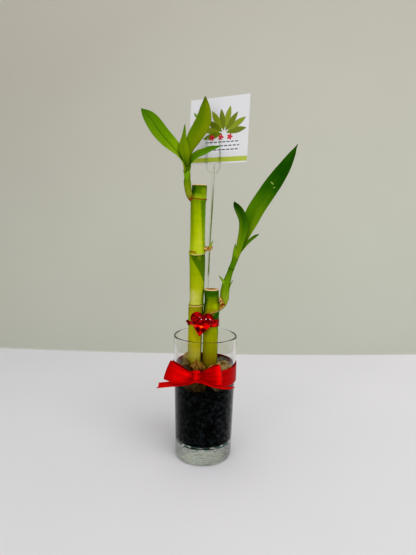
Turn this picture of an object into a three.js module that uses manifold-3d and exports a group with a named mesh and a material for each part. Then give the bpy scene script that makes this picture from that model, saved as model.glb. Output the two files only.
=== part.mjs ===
// Lucky bamboo: two cut canes of a ribbon dracaena, each with a side shoot in leaf, standing in black
// gravel under river pebbles in a straight glass tumbler. A satin bow is tied round the glass, a heart
// charm is strapped to the canes, and a clear pick holds a square card behind them.
//
// Millimetres. +X is right, +Y is away from the viewer, +Z is up. The origin is the centre of the
// tumbler's flat underside.
import * as THREE from "three";
import { mergeVertices } from "three/addons/utils/BufferGeometryUtils.js";
import Module from "manifold-3d";

const wasm = await Module();
wasm.setup();

// Driving dimensions
const GAP = 0.3; // clearance kept between neighbouring pieces
const GLASS = {
  height: 110.4,
  baseRadius: 25,
  rimRadius: 27.5,
  heelRadius: 2.5,
  wall: 1.9,
  floor: 14.5,
  floorCorner: 5,
  sides: 48,
};
const GRAVEL = { top: 69, lumpsRound: 20, relief: 0.85, topRelief: 0.9 };
const PEBBLE_DETAIL = 2;
const CANE_FOOT = 20; // how far above the table the canes' lower ends stand in the gravel
const CANE_SIDES = 20;
const CUT_BEVEL = 0.35; // worn edge of a cane's sawn top
const SCAR = { height: 1.3, swoopReach: 6 }; // how far up and down a leaf scar swells and bends the cane
const TALL_CANE = {
  foot: CANE_FOOT,
  top: 240.2,
  axis: [
    [20, -10.4, -1],
    [240, -7.35, -1],
  ],
  radius: [
    [20, 6.0],
    [88, 6.1],
    [120, 6.2],
    [160, 6.45],
    [182, 6.4],
    [205, 6.15],
    [240, 5.95],
  ],
  scars: [
    { height: 136.1, bulge: 0.3, swoop: 0.4, toward: 0 },
    { height: 182.4, bulge: 0.55, swoop: -1.1, toward: -0.6 },
    { height: 228.9, bulge: 0.9, swoop: 0.3, toward: 2.4 },
  ],
};
const SHORT_CANE = {
  foot: CANE_FOOT,
  top: 151.2,
  axis: [
    [20, 4.2, -3],
    [151, 4.4, -3],
  ],
  radius: [
    [20, 6.2],
    [88, 6.3],
    [125, 6.4],
    [151, 6.3],
  ],
  scars: [{ height: 131.6, bulge: 0.4, swoop: 1.6, toward: -0.3 }],
};
const BLADE_THICKNESS = 0.7;
const RIBBON = { width: 16, thickness: 0.7, middle: 77.6, gatheredWidth: 9.2, gatheredMiddle: 80.5 };
const BAND = { height: 7.4, drawnHeight: 2.8, drawnRise: 1.3, thickness: 0.9, middle: 121.6 };
const HEART = { width: 20, height: 21, tilt: THREE.MathUtils.degToRad(9.6), centre: [-3, -14.6, 124.6] };
const CARD = {
  width: 54.2,
  height: 54.7,
  thickness: 0.5,
  centre: [7.7, 11, 289.3],
  yaw: THREE.MathUtils.degToRad(-23.3),
  pitch: THREE.MathUtils.degToRad(-2.7),
  roll: THREE.MathUtils.degToRad(0.7),
};
const PICK = {
  headWidth: 14.4,
  prong: 1.6,
  depth: 1.2,
  foot: [4.5, 12.4], // where the head's middle meets the height of the card's centre, seen from above
  join: 252.4,
  tip: 282.5,
  grip: 0.35, // between the card's face and a prong
  stickWidth: 2.4,
  stickDepth: 1.8,
};

// Radius of the tumbler's outside at a height; it widens evenly from the base to the rim.
function glassRadius(height) {
  return GLASS.baseRadius + ((GLASS.rimRadius - GLASS.baseRadius) * height) / GLASS.height;
}

// Smooth value at t through [position, value] pairs, level past both ends.
function along(table, t) {
  const last = table.length - 1;
  if (t <= table[0][0]) return table[0][1];
  if (t >= table[last][0]) return table[last][1];
  const k = table.findIndex(([position]) => position > t) - 1;
  const slope = (i) => {
    const before = table[Math.max(i - 1, 0)];
    const after = table[Math.min(i + 1, last)];
    return (after[1] - before[1]) / (after[0] - before[0]);
  };
  const [start, from] = table[k];
  const [end, to] = table[k + 1];
  const span = end - start;
  const s = (t - start) / span;
  const rest = 1 - s;
  return (
    from * (1 + 2 * s) * rest * rest +
    to * s * s * (3 - 2 * s) +
    span * s * rest * (slope(k) * rest - slope(k + 1) * s)
  );
}

function curveThrough(points) {
  return new THREE.CatmullRomCurve3(
    points.map((point) => new THREE.Vector3(...point)),
    false,
    "centripetal",
  );
}

// A manifold solid from vertices and triangles, with its faces turned outward.
function solidFrom(vertices, triangles) {
  const make = (triVerts) =>
    new wasm.Manifold(
      new wasm.Mesh({
        numProp: 3,
        vertProperties: new Float32Array(vertices.flatMap((vertex) => vertex.toArray())),
        triVerts: new Uint32Array(triVerts.flat()),
      }),
    );
  const made = make(triangles);
  return made.volume() > 0 ? made : make(triangles.map(([a, b, c]) => [a, c, b]));
}

function solidOf(geometry) {
  const bare = geometry.clone();
  bare.deleteAttribute("normal");
  bare.deleteAttribute("uv");
  const merged = mergeVertices(bare, 1e-4);
  const place = merged.getAttribute("position");
  const index = merged.getIndex().array;
  const vertices = [];
  for (let i = 0; i < place.count; i += 1) vertices.push(new THREE.Vector3().fromBufferAttribute(place, i));
  const triangles = [];
  for (let i = 0; i < index.length; i += 3) {
    const corners = [index[i], index[i + 1], index[i + 2]];
    if (new Set(corners).size === 3) triangles.push(corners);
  }
  return solidFrom(vertices, triangles);
}

// What is left of a solid clear of its neighbours, without loose scraps.
function clearOf(solid, ...neighbours) {
  const left = neighbours.reduce((rest, neighbour) => rest.subtract(neighbour), solid);
  return left.decompose().reduce((best, body) => (body.volume() > best.volume() ? body : best));
}

function joined(...solids) {
  return solids.reduce((sum, solid) => sum.add(solid));
}

// A closed solid between two grids of points. Both faces are split along the same diagonals, so a
// thin plate never cuts through itself.
function plateBetween(front, back) {
  const rows = front.length;
  const columns = front[0].length;
  const vertices = [...front.flat(), ...back.flat()];
  const at = (side, row, column) => (side * rows + row) * columns + column;
  const triangles = [];
  for (let row = 0; row + 1 < rows; row += 1)
    for (let column = 0; column + 1 < columns; column += 1) {
      const square = (side) => [
        at(side, row, column),
        at(side, row, column + 1),
        at(side, row + 1, column + 1),
        at(side, row + 1, column),
      ];
      const [a, b, c, d] = square(0);
      triangles.push([a, b, c], [a, c, d]);
      const [e, f, g, h] = square(1);
      triangles.push([e, g, f], [e, h, g]);
    }
  const wallBetween = (a, b) => {
    const [rowA, columnA] = a;
    const [rowB, columnB] = b;
    triangles.push(
      [at(0, rowB, columnB), at(0, rowA, columnA), at(1, rowA, columnA)],
      [at(0, rowB, columnB), at(1, rowA, columnA), at(1, rowB, columnB)],
    );
  };
  for (let column = 0; column + 1 < columns; column += 1) {
    wallBetween([0, column], [0, column + 1]);
    wallBetween([rows - 1, column + 1], [rows - 1, column]);
  }
  for (let row = 0; row + 1 < rows; row += 1) {
    wallBetween([row + 1, 0], [row, 0]);
    wallBetween([row, columns - 1], [row + 1, columns - 1]);
  }
  return solidFrom(vertices, triangles);
}

// A strip of even thickness along a spine: a leaf blade or a length of ribbon. Its section is an arc
// whose hollow side looks along facing; halfWidth and curl, half the arc's angle, change along it.
function strip({ spine, facing, halfWidth, curl, ripple = 0, thickness = BLADE_THICKNESS, rows, columns }, grow = 0) {
  const curve = curveThrough(spine);
  const facingTables = [1, 2, 3].map((k) => facing.map((entry) => [entry[0], entry[k]]));
  const half = thickness / 2 + grow;
  const front = [];
  const back = [];
  for (let row = 0; row <= rows; row += 1) {
    const v = row / rows;
    const middle = curve.getPointAt(v);
    const tangent = curve.getTangentAt(v);
    middle.addScaledVector(tangent, grow * (2 * v - 1));
    const normal = new THREE.Vector3(...facingTables.map((table) => along(table, v)));
    normal.addScaledVector(tangent, -normal.dot(tangent)).normalize();
    const across = new THREE.Vector3().crossVectors(tangent, normal);
    const width = along(halfWidth, v) + grow;
    const bend = Math.max(along(curl, v), 0.02);
    const frontRow = [];
    const backRow = [];
    for (let column = 0; column <= columns; column += 1) {
      const u = (2 * column) / columns - 1;
      const angle = u * bend;
      const wave = ripple * u * u * Math.sin(v * 3 * Math.PI + u);
      const point = middle
        .clone()
        .addScaledVector(across, (width * Math.sin(angle)) / bend)
        .addScaledVector(normal, (width * (1 - Math.cos(angle))) / bend + wave);
      const out = normal.clone().multiplyScalar(Math.cos(angle)).addScaledVector(across, -Math.sin(angle));
      frontRow.push(point.clone().addScaledVector(out, half));
      backRow.push(point.clone().addScaledVector(out, -half));
    }
    front.push(frontRow);
    back.push(backRow);
  }
  return plateBetween(front, back);
}

// A round stalk along a spine, with its radius from a table and flat ends.
function stalk({ spine, radius, rings, sides }, grow = 0) {
  const curve = curveThrough(spine);
  const frames = curve.computeFrenetFrames(rings, false);
  const vertices = [];
  for (let ring = 0; ring <= rings; ring += 1) {
    const share = ring / rings;
    const middle = curve.getPointAt(share).addScaledVector(frames.tangents[ring], grow * (2 * share - 1));
    const r = along(radius, share) + grow;
    for (let side = 0; side < sides; side += 1) {
      const angle = (2 * Math.PI * side) / sides;
      vertices.push(
        middle
          .clone()
          .addScaledVector(frames.normals[ring], r * Math.cos(angle))
          .addScaledVector(frames.binormals[ring], r * Math.sin(angle)),
      );
    }
  }
  const low = vertices.push(curve.getPointAt(0).addScaledVector(frames.tangents[0], -grow)) - 1;
  const high = vertices.push(curve.getPointAt(1).addScaledVector(frames.tangents[rings], grow)) - 1;
  const triangles = [];
  for (let side = 0; side < sides; side += 1) {
    const next = (side + 1) % sides;
    for (let ring = 0; ring < rings; ring += 1) {
      const a = ring * sides + side;
      const b = ring * sides + next;
      triangles.push([a, b, b + sides], [a, b + sides, a + sides]);
    }
    triangles.push([low, next, side], [high, rings * sides + side, rings * sides + next]);
  }
  return solidFrom(vertices, triangles);
}

// A turned solid from [radius, height] points that start and end on the axis.
function turned(profile, sides) {
  const geometry = new THREE.LatheGeometry(
    profile.map(([radius, height]) => new THREE.Vector2(radius, height)),
    sides,
  );
  geometry.rotateX(Math.PI / 2);
  return geometry;
}

function moveVertices(geometry, move) {
  const place = geometry.getAttribute("position");
  const point = new THREE.Vector3();
  for (let i = 0; i < place.count; i += 1) {
    point.fromBufferAttribute(place, i);
    move(point);
    place.setXYZ(i, point.x, point.y, point.z);
  }
  return geometry;
}

// Points of a quarter arc in a profile, from one angle to another.
function arc(centreRadius, centreHeight, radius, from, to, steps) {
  return Array.from({ length: steps + 1 }, (_, k) => {
    const angle = from + ((to - from) * k) / steps;
    return [centreRadius + radius * Math.cos(angle), centreHeight + radius * Math.sin(angle)];
  });
}

// Glass tumbler: thick flat base, rounded heel, thin wall with a fire-polished rim.
function glass() {
  const lip = GLASS.wall / 2;
  const corner = GLASS.floorCorner;
  const innerFoot = glassRadius(GLASS.floor + corner) - GLASS.wall;
  return solidOf(
    turned(
      [
        [0, 0],
        ...arc(GLASS.baseRadius - GLASS.heelRadius, GLASS.heelRadius, GLASS.heelRadius, -Math.PI / 2, 0, 3),
        ...arc(GLASS.rimRadius - lip, GLASS.height - lip, lip, 0, Math.PI, 4),
        ...arc(innerFoot - corner, GLASS.floor + corner, corner, 0, -Math.PI / 2, 3),
        [0, GLASS.floor],
      ],
      GLASS.sides,
    ),
  );
}

// Where a cane's axis is at a height, seen from above.
function caneCentre([[z0, x0, y0], [z1, x1, y1]], height) {
  const share = (height - z0) / (z1 - z0);
  return [x0 + (x1 - x0) * share, y0 + (y1 - y0) * share];
}

// Cane: a straight stem with raised leaf scars that swoop up or down on one side.
function cane({ foot, top, axis, radius, scars }, grow = 0) {
  const steps = [-5, -2, -0.9, 0, 0.9, 2, 5];
  const heights = [foot - grow, 60, 88, 110, top + grow - 0.5, top + grow];
  for (const scar of scars) heights.push(...steps.map((step) => scar.height + step));
  const levels = heights.filter((height) => height <= top + grow).sort((a, b) => a - b);
  const swell = (scar, height) => Math.exp(-(((height - scar.height) / SCAR.height) ** 2));
  const outline = levels.map((height) => {
    const bulges = scars.reduce((sum, scar) => sum + scar.bulge * swell(scar, height), 0);
    const bevel = height === levels.at(-1) ? CUT_BEVEL : 0;
    return [along(radius, height) + bulges - bevel + grow, height];
  });
  const geometry = turned([[0, levels[0]], ...outline, [0, levels.at(-1)]], CANE_SIDES);
  return solidOf(
    moveVertices(geometry, (point) => {
      const angle = Math.atan2(point.y, point.x);
      for (const scar of scars) {
        const near = Math.exp(-(((point.z - scar.height) / SCAR.swoopReach) ** 2));
        point.z += scar.swoop * near * Math.cos(angle - scar.toward);
      }
      const [x, y] = caneCentre(axis, point.z);
      point.x += x;
      point.y += y;
    }),
  );
}

// Side shoot of the tall cane: a short stem with a sheath scar halfway up.
const TALL_SHOOT = {
  spine: [
    [-11, -1.6, 226.7],
    [-14.2, -2.8, 229],
    [-16.2, -3.4, 232.6],
    [-17.4, -3.8, 237.9],
    [-18, -3.8, 243.6],
    [-18.1, -3.6, 248.9],
    [-18.7, -3.4, 254.2],
    [-18.8, -3.6, 261],
  ],
  radius: [
    [0, 2.3],
    [0.12, 2.5],
    [0.2, 2.8],
    [0.4, 3.05],
    [0.52, 3.1],
    [0.56, 2.75],
    [0.75, 2.5],
    [0.79, 1.1],
    [1, 0.6],
  ],
  rings: 22,
  sides: 12,
};

// Side shoot of the short cane: a slender stem that leans right, swollen where it leaves the cane.
const SHORT_SHOOT = {
  spine: [
    [8.5, -3.2, 137.3],
    [12.9, -3.8, 139.9],
    [15.5, -4.2, 145.2],
    [16, -4.4, 151],
    [17.2, -4.7, 157],
    [18.9, -5, 163],
    [20.9, -5.4, 169.4],
    [23.4, -5.8, 176.3],
    [26.6, -6.4, 186.3],
    [28.3, -6.7, 190.6],
    [30.2, -6.9, 197],
  ],
  radius: [
    [0, 3.6],
    [0.1, 3.7],
    [0.16, 3.5],
    [0.22, 3.4],
    [0.32, 3.1],
    [0.45, 2.5],
    [0.55, 2.2],
    [0.58, 2.4],
    [0.61, 2.2],
    [0.78, 2.6],
    [0.86, 2.6],
    [0.89, 1.1],
    [1, 0.6],
  ],
  rings: 28,
  sides: 12,
};
const SHORT_SHOOT_SHEATHS = [
  {
    spine: [
      [17.4, -5.8, 150.5],
      [15.4, -7.4, 157.6],
      [10.6, -8.6, 164.5],
    ],
    facing: [
      [0, 0.5, -0.8, 0.2],
      [1, 0.3, -0.9, 0.3],
    ],
    halfWidth: [
      [0, 2.4],
      [0.5, 1.6],
      [1, 0.35],
    ],
    curl: [
      [0, 0.9],
      [1, 0.3],
    ],
    rows: 7,
    columns: 2,
  },
  {
    spine: [
      [18.9, -5.1, 150.5],
      [20.9, -5.6, 156.6],
      [22.7, -6, 160.3],
    ],
    facing: [
      [0, -0.8, -0.4, 0.2],
      [1, -0.8, -0.4, 0.4],
    ],
    halfWidth: [
      [0, 2],
      [0.6, 1],
      [1, 0.35],
    ],
    curl: [
      [0, 0.8],
      [1, 0.3],
    ],
    rows: 6,
    columns: 2,
  },
  {
    spine: [
      [24.6, -7, 183.6],
      [24, -7.4, 188],
      [23.9, -7.4, 192],
    ],
    facing: [
      [0, 0.9, -0.3, 0],
      [1, 0.9, -0.3, 0.2],
    ],
    halfWidth: [
      [0, 2],
      [0.5, 1.2],
      [1, 0.35],
    ],
    curl: [
      [0, 0.8],
      [1, 0.3],
    ],
    rows: 5,
    columns: 2,
  },
];

// Dormant bud on the tall cane's upper scar: a crusted cushion with one green tip.
const BUD_CUSHION = {
  spine: [
    [-6, -2, 184.8],
    [-1.6, -2.8, 186.4],
    [1.6, -3.2, 187.2],
    [4.6, -3.4, 188.6],
  ],
  radius: [
    [0, 2.4],
    [0.45, 2.1],
    [0.75, 1.7],
    [1, 0.7],
  ],
  rings: 8,
  sides: 10,
};
const BUD_TIP = {
  spine: [
    [0.8, -3.3, 186.8],
    [2.9, -3.7, 190],
    [4.9, -3.9, 194],
  ],
  radius: [
    [0, 1.3],
    [0.5, 0.9],
    [1, 0.35],
  ],
  rings: 6,
  sides: 8,
};

// Leaves, each by its spine from the sheath to the tip, the way its upper face looks, its half width
// and how far its section is rolled: tight round the stem at the sheath, nearly flat along the blade.
const LEAVES = {
  leaf_left: {
    spine: [
      [-20.6, -4.2, 251.5],
      [-21.6, -5.2, 258.6],
      [-24.7, -6.8, 264.1],
      [-30.1, -8.5, 270.4],
      [-40.3, -10.5, 281.2],
      [-48.8, -11.5, 292.3],
      [-56, -11, 300],
    ],
    facing: [
      [0, 0.9, -0.1, 0.2],
      [0.2, 0.7, -0.6, 0.3],
      [0.45, 0.35, -0.85, 0.35],
      [1, 0.25, -0.9, 0.3],
    ],
    halfWidth: [
      [0, 3.6],
      [0.15, 4.8],
      [0.35, 6.9],
      [0.6, 7.2],
      [0.78, 6.5],
      [0.9, 4.6],
      [1, 0.5],
    ],
    curl: [
      [0, 1.3],
      [0.25, 0.85],
      [0.5, 0.4],
      [1, 0.25],
    ],
    ripple: 0.3,
    rows: 18,
    columns: 6,
  },
  leaf_upright: {
    spine: [
      [-18.6, -6.4, 252.5],
      [-18.5, -6.6, 260.5],
      [-17.4, -5.6, 269.5],
      [-12.5, -4, 280],
      [-8.1, -2.5, 288],
      [-5.2, -1, 295.4],
      [-4.2, 0, 305.6],
      [-4.2, -0.5, 313.6],
    ],
    facing: [
      [0, 0, 1, 0.1],
      [0.3, 0, 1, 0.1],
      [1, 0.1, 1, 0],
    ],
    halfWidth: [
      [0, 2.9],
      [0.14, 3.3],
      [0.27, 4.4],
      [0.47, 6.4],
      [0.62, 6.8],
      [0.75, 6.1],
      [0.88, 3.9],
      [1, 0.4],
    ],
    curl: [
      [0, 1.2],
      [0.2, 0.9],
      [0.5, 0.4],
      [1, 0.25],
    ],
    ripple: 0.3,
    rows: 18,
    columns: 6,
  },
  leaf_small_right: {
    spine: [
      [-16.6, -5, 251.5],
      [-15.8, -6, 257.6],
      [-13.2, -7.2, 261.9],
      [-9.6, -8.4, 264.6],
      [-3.4, -9.6, 267.2],
      [2.8, -10.5, 269.8],
      [9.1, -10.5, 271.7],
    ],
    facing: [
      [0, -0.9, -0.2, 0.2],
      [0.3, -0.5, -0.7, 0.5],
      [1, -0.2, -0.8, 0.6],
    ],
    halfWidth: [
      [0, 2.6],
      [0.3, 3.4],
      [0.55, 3.3],
      [0.8, 2.4],
      [1, 0.4],
    ],
    curl: [
      [0, 1.2],
      [0.3, 0.7],
      [1, 0.3],
    ],
    rows: 14,
    columns: 4,
  },
  leaf_furled: {
    spine: [
      [-19, -2.9, 262.5],
      [-20.2, -1.8, 271],
      [-21.1, -0.8, 281],
      [-20.7, 0, 291.1],
    ],
    facing: [
      [0, 0.2, -1, 0],
      [1, 0.2, -1, 0],
    ],
    halfWidth: [
      [0, 1.4],
      [0.5, 2.4],
      [0.75, 1.7],
      [1, 0.35],
    ],
    curl: [
      [0, 1.2],
      [0.6, 0.9],
      [1, 0.5],
    ],
    rows: 10,
    columns: 4,
  },
  leaf_big: {
    spine: [
      [28.7, -4.6, 187],
      [31.2, -4.6, 195],
      [34.9, -5.2, 206],
      [39.6, -6.6, 218.6],
      [49.9, -9, 235.9],
      [56.4, -10, 245.9],
      [62.7, -10.5, 255.9],
      [68.2, -10.5, 266],
      [72.6, -9.5, 274.6],
    ],
    facing: [
      [0, -0.3, -1, 0.2],
      [0.3, -0.35, -0.9, 0.2],
      [1, -0.3, -0.9, 0.3],
    ],
    halfWidth: [
      [0, 3.2],
      [0.08, 3.6],
      [0.19, 5.2],
      [0.32, 6.9],
      [0.53, 7],
      [0.66, 6.8],
      [0.79, 5.4],
      [0.91, 2.8],
      [1, 0.35],
    ],
    curl: [
      [0, 1.2],
      [0.15, 0.8],
      [0.35, 0.35],
      [1, 0.25],
    ],
    ripple: 0.3,
    rows: 22,
    columns: 6,
  },
  leaf_small_left: {
    spine: [
      [26.8, -9.8, 187],
      [28.4, -10.4, 195],
      [29.6, -11, 203],
      [29, -12.2, 211.2],
      [26.2, -14.5, 217.6],
      [23.2, -16, 222.7],
      [21.3, -17, 226.6],
    ],
    facing: [
      [0, 0.4, 0.9, 0],
      [0.4, 0.5, 0.85, 0.1],
      [1, 0.5, 0.7, 0.5],
    ],
    halfWidth: [
      [0, 3],
      [0.3, 3.9],
      [0.6, 4.1],
      [0.8, 3.2],
      [0.92, 1.8],
      [1, 0.4],
    ],
    curl: [
      [0, 1.1],
      [0.4, 0.75],
      [1, 0.5],
    ],
    rows: 14,
    columns: 4,
  },
  leaf_spur: {
    spine: [
      [31.2, -8.6, 189.4],
      [34.6, -8.4, 195.8],
      [39, -8.4, 199.2],
      [43.4, -8.4, 200.9],
    ],
    facing: [
      [0, -0.9, 0.1, 0.5],
      [0.5, -0.4, -0.2, 0.9],
      [1, -0.2, -0.3, 0.9],
    ],
    halfWidth: [
      [0, 2],
      [0.4, 2.1],
      [0.8, 1.5],
      [1, 0.4],
    ],
    curl: [
      [0, 1.1],
      [0.5, 0.7],
      [1, 0.4],
    ],
    rows: 9,
    columns: 4,
  },
};

// River pebbles round the canes, as [x, y, z, half length, half depth, half height, turn in degrees].
const PEBBLES = {
  pebble_left_back: [-16.8, 8.2, 83.6, 4.6, 5.2, 8.6, 10],
  pebble_left_front: [-17.6, -8.2, 79.4, 4.4, 4.4, 6, -20],
  pebble_front: [-8, -14.2, 80.6, 6.8, 5.2, 6.2, 6],
  pebble_front_mid: [3.6, -16.2, 79, 4.8, 4.4, 6.6, -12],
  pebble_right: [16.4, -9.6, 80.4, 7, 5.6, 7.6, 28],
  pebble_right_back: [16.2, 9.6, 80.6, 6, 5, 6.6, -30],
  pebble_right_edge: [20.4, 0.6, 76.4, 3.3, 4.3, 5.4, 0],
  pebble_back: [8.2, 17.6, 79.6, 5.4, 4.6, 6, 12],
  pebble_back_left: [-8.6, 17, 79, 5.4, 4.6, 6.2, -14],
  pebble_mid_left: [-6, 8.8, 72.4, 3.4, 3.1, 4.2, 0],
  pebble_mid_right: [5.4, 8.8, 72.4, 3.6, 3.1, 4.4, 0],
  pebble_left_edge: [-21.2, -0.6, 76.2, 2.9, 4, 5.2, 0],
  pebble_low_front: [-11.8, -16.8, 70.6, 4.8, 3.4, 4.2, -30],
  pebble_low_mid: [-3.2, -20.2, 72.2, 4.4, 3.2, 5, -6],
  pebble_low_right: [10.4, -17.8, 70.6, 4.6, 3.6, 4.4, 24],
};

function pebble([x, y, z, length, depth, height, turn], grow = 0) {
  const stone = new THREE.IcosahedronGeometry(1, PEBBLE_DETAIL);
  const seed = x + 2 * y;
  moveVertices(stone, (point) => {
    const lump =
      1 +
      0.07 * Math.sin(2.3 * point.x + seed) +
      0.06 * Math.sin(2.9 * point.y + 2 * seed) +
      0.05 * Math.sin(3.4 * point.z + 3 * seed);
    point.set(
      point.x * lump * length + Math.sign(point.x) * grow,
      point.y * lump * depth + Math.sign(point.y) * grow,
      point.z * lump * height + Math.sign(point.z) * grow,
    );
  });
  stone.rotateZ(THREE.MathUtils.degToRad(turn));
  stone.translate(x, y, z);
  return solidOf(stone);
}

// Gravel: fills the tumbler to just under the pebbles, dented by the pebbles and holed where the canes
// and the pick stand in it. Its side has the main lumps that the grains make, as far apart upwards as
// they are round it: every second corner of its grid stands back.
function gravel(...sunk) {
  const corner = GLASS.floorCorner - GAP;
  const floor = GLASS.floor + GAP;
  const sideAt = (height) => glassRadius(height) - GLASS.wall - GAP;
  const footRadius = sideAt(floor + corner);
  const lump = (2 * Math.PI * footRadius) / GRAVEL.lumpsRound;
  const sideRows = Math.round((2 * (GRAVEL.top - floor - corner)) / lump);
  const rowStep = (GRAVEL.top - floor - corner) / sideRows;
  const sidePoints = Array.from({ length: sideRows }, (_, k) => {
    const height = floor + corner + ((GRAVEL.top - floor - corner) * (k + 1)) / sideRows;
    return [sideAt(height), height];
  });
  const rim = sideAt(GRAVEL.top);
  const topPoints = [0.84, 0.66, 0.48, 0.3, 0.14].map((share) => [rim * share, GRAVEL.top]);
  const geometry = turned(
    [[0, floor], ...arc(footRadius - corner, floor + corner, corner, -Math.PI / 2, 0, 3), ...sidePoints]
      .concat(topPoints)
      .concat([[0, GRAVEL.top]]),
    2 * GRAVEL.lumpsRound,
  );
  moveVertices(geometry, (point) => {
    const side = Math.hypot(point.x, point.y);
    if (side < 1) return;
    const angle = Math.atan2(point.y, point.x);
    const row = (point.z - floor - corner) / rowStep;
    const lumps = 0.5 + 0.5 * Math.cos(GRAVEL.lumpsRound * angle) * Math.cos(Math.PI * row);
    const uneven = 0.8 + 0.2 * Math.sin(5 * angle + 0.3 * point.z);
    const inward = GRAVEL.relief * lumps * uneven * (point.z > floor + 1 ? 1 : 0);
    point.x *= 1 - inward / side;
    point.y *= 1 - inward / side;
    if (point.z > GRAVEL.top - 0.01) point.z += GRAVEL.topRelief * Math.sin(1.7 * point.x) * Math.cos(1.9 * point.y);
  });
  return clearOf(solidOf(geometry), ...sunk);
}

// A closed hoop of rectangular section round a flat outline, its height from a function of x and y.
function hoop(outline, thickness, levels) {
  const stations = outline.length;
  const vertices = [];
  outline.forEach(([x, y], k) => {
    const [beforeX, beforeY] = outline[(k + stations - 1) % stations];
    const [afterX, afterY] = outline[(k + 1) % stations];
    const out = new THREE.Vector2(afterY - beforeY, beforeX - afterX).normalize().multiplyScalar(thickness);
    const [low, high] = levels(x, y);
    vertices.push(
      new THREE.Vector3(x, y, low),
      new THREE.Vector3(x + out.x, y + out.y, low),
      new THREE.Vector3(x + out.x, y + out.y, high),
      new THREE.Vector3(x, y, high),
    );
  });
  const triangles = [];
  for (let k = 0; k < stations; k += 1)
    for (let edge = 0; edge < 4; edge += 1) {
      const a = 4 * k + edge;
      const b = 4 * k + ((edge + 1) % 4);
      const c = 4 * ((k + 1) % stations) + ((edge + 1) % 4);
      const d = 4 * ((k + 1) % stations) + edge;
      triangles.push([a, b, c], [a, c, d]);
    }
  return solidFrom(vertices, triangles);
}

// Satin ribbon: one strip wrapped round the glass and tied in front in a bow. The strip is gathered
// to a few millimetres at the knot and is its full width at the sides, in the loops and at the tails.
const BOW_PARTS = [
  {
    // left loop, out in front and back behind
    spine: [
      [-6.5, -32.6, 83.2],
      [-13, -35.6, 82.9],
      [-21, -37, 84.8],
      [-28, -35.8, 87.8],
      [-31, -33.2, 88.8],
      [-28.6, -30.8, 87.6],
      [-20, -29.8, 83.4],
      [-12, -29.4, 82],
      [-6.5, -29.4, 83],
    ],
    facing: [
      [0, 0, 1, 0],
      [0.36, 0.5, 0.85, -0.1],
      [0.5, 0.94, 0, -0.33],
      [0.64, 0.5, -0.85, -0.1],
      [1, 0, -1, 0],
    ],
    halfWidth: [
      [0, 3.2],
      [0.12, 5.4],
      [0.32, 7.8],
      [0.7, 7.8],
      [0.88, 5.4],
      [1, 3.2],
    ],
    curl: [
      [0, 0.8],
      [0.3, 0.2],
      [0.7, 0.2],
      [1, 0.8],
    ],
    rows: 16,
    columns: 4,
  },
  {
    // right loop
    spine: [
      [-6, -32.6, 83.2],
      [0.5, -35.2, 84],
      [7, -36.8, 85],
      [12, -35.8, 85.5],
      [13.9, -33.2, 85.6],
      [12, -30.8, 85],
      [5, -29.6, 83.6],
      [-2, -29.4, 83],
      [-6, -29.4, 83],
    ],
    facing: [
      [0, 0, 1, 0],
      [0.36, -0.5, 0.85, 0],
      [0.5, -0.99, 0, -0.12],
      [0.64, -0.5, -0.85, 0],
      [1, 0, -1, 0],
    ],
    halfWidth: [
      [0, 3.2],
      [0.14, 4.8],
      [0.34, 7.8],
      [0.66, 7.8],
      [0.86, 4.8],
      [1, 3.2],
    ],
    curl: [
      [0, 0.8],
      [0.3, 0.2],
      [0.7, 0.2],
      [1, 0.8],
    ],
    rows: 14,
    columns: 4,
  },
  {
    // right tail, lying out flat towards the viewer
    spine: [
      [-5, -34.4, 82],
      [0.5, -35.6, 79],
      [7, -36.2, 76.4],
      [14, -36, 74.9],
      [20, -35.4, 74.6],
      [25, -33.6, 75.2],
    ],
    facing: [
      [0, 0.1, -0.9, 0.4],
      [0.25, 0.1, -0.2, 0.95],
      [0.5, 0, 0.16, 0.97],
      [1, -0.1, 0.16, 0.97],
    ],
    halfWidth: [
      [0, 2.6],
      [0.3, 5],
      [0.7, 7],
      [0.88, 5],
      [1, 0.6],
    ],
    curl: [
      [0, 0.7],
      [1, 0.3],
    ],
    rows: 9,
    columns: 3,
  },
  {
    // left tail
    spine: [
      [-7, -32.4, 81.2],
      [-14, -33.6, 78.4],
      [-22, -34, 77.2],
      [-30, -33.6, 76.4],
      [-38, -32.6, 75],
    ],
    facing: [
      [0, -0.1, -0.9, 0.4],
      [0.3, -0.1, -0.3, 0.9],
      [0.6, -0.1, 0.06, 1],
      [1, -0.1, 0.1, 1],
    ],
    halfWidth: [
      [0, 2.6],
      [0.35, 5],
      [0.7, 7.2],
      [1, 7.6],
    ],
    curl: [
      [0, 0.7],
      [1, 0.3],
    ],
    rows: 8,
    columns: 3,
  },
];
const KNOT = { centre: [-6.4, -30.9, 83], halves: [4.4, 4.3, 4.9] };

function ribbon() {
  const inner = glassRadius(RIBBON.middle + RIBBON.width / 2) + GAP;
  const stations = 48;
  const outline = Array.from({ length: stations }, (_, k) => {
    const angle = (2 * Math.PI * k) / stations;
    return [inner * Math.cos(angle), inner * Math.sin(angle)];
  });
  const [knotX] = KNOT.centre;
  const wrap = hoop(outline, RIBBON.thickness, (x, y) => {
    const away = Math.hypot(x - knotX, y + inner) / inner;
    const spread = THREE.MathUtils.smoothstep(away, 0.15, 1.1);
    const half = THREE.MathUtils.lerp(RIBBON.gatheredWidth, RIBBON.width, spread) / 2;
    const middle = THREE.MathUtils.lerp(RIBBON.gatheredMiddle, RIBBON.middle, spread);
    return [middle - half, middle + half];
  });
  const knot = new THREE.IcosahedronGeometry(1, 1);
  moveVertices(knot, (point) => {
    const pleat = 1 + 0.06 * Math.sin(9 * Math.atan2(point.z, point.x));
    point.set(point.x * KNOT.halves[0] * pleat, point.y * KNOT.halves[1], point.z * KNOT.halves[2]);
  });
  knot.translate(...KNOT.centre);
  const strips = BOW_PARTS.map((part) => strip({ ...part, thickness: RIBBON.thickness }));
  return joined(wrap, solidOf(knot), ...strips);
}

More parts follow.
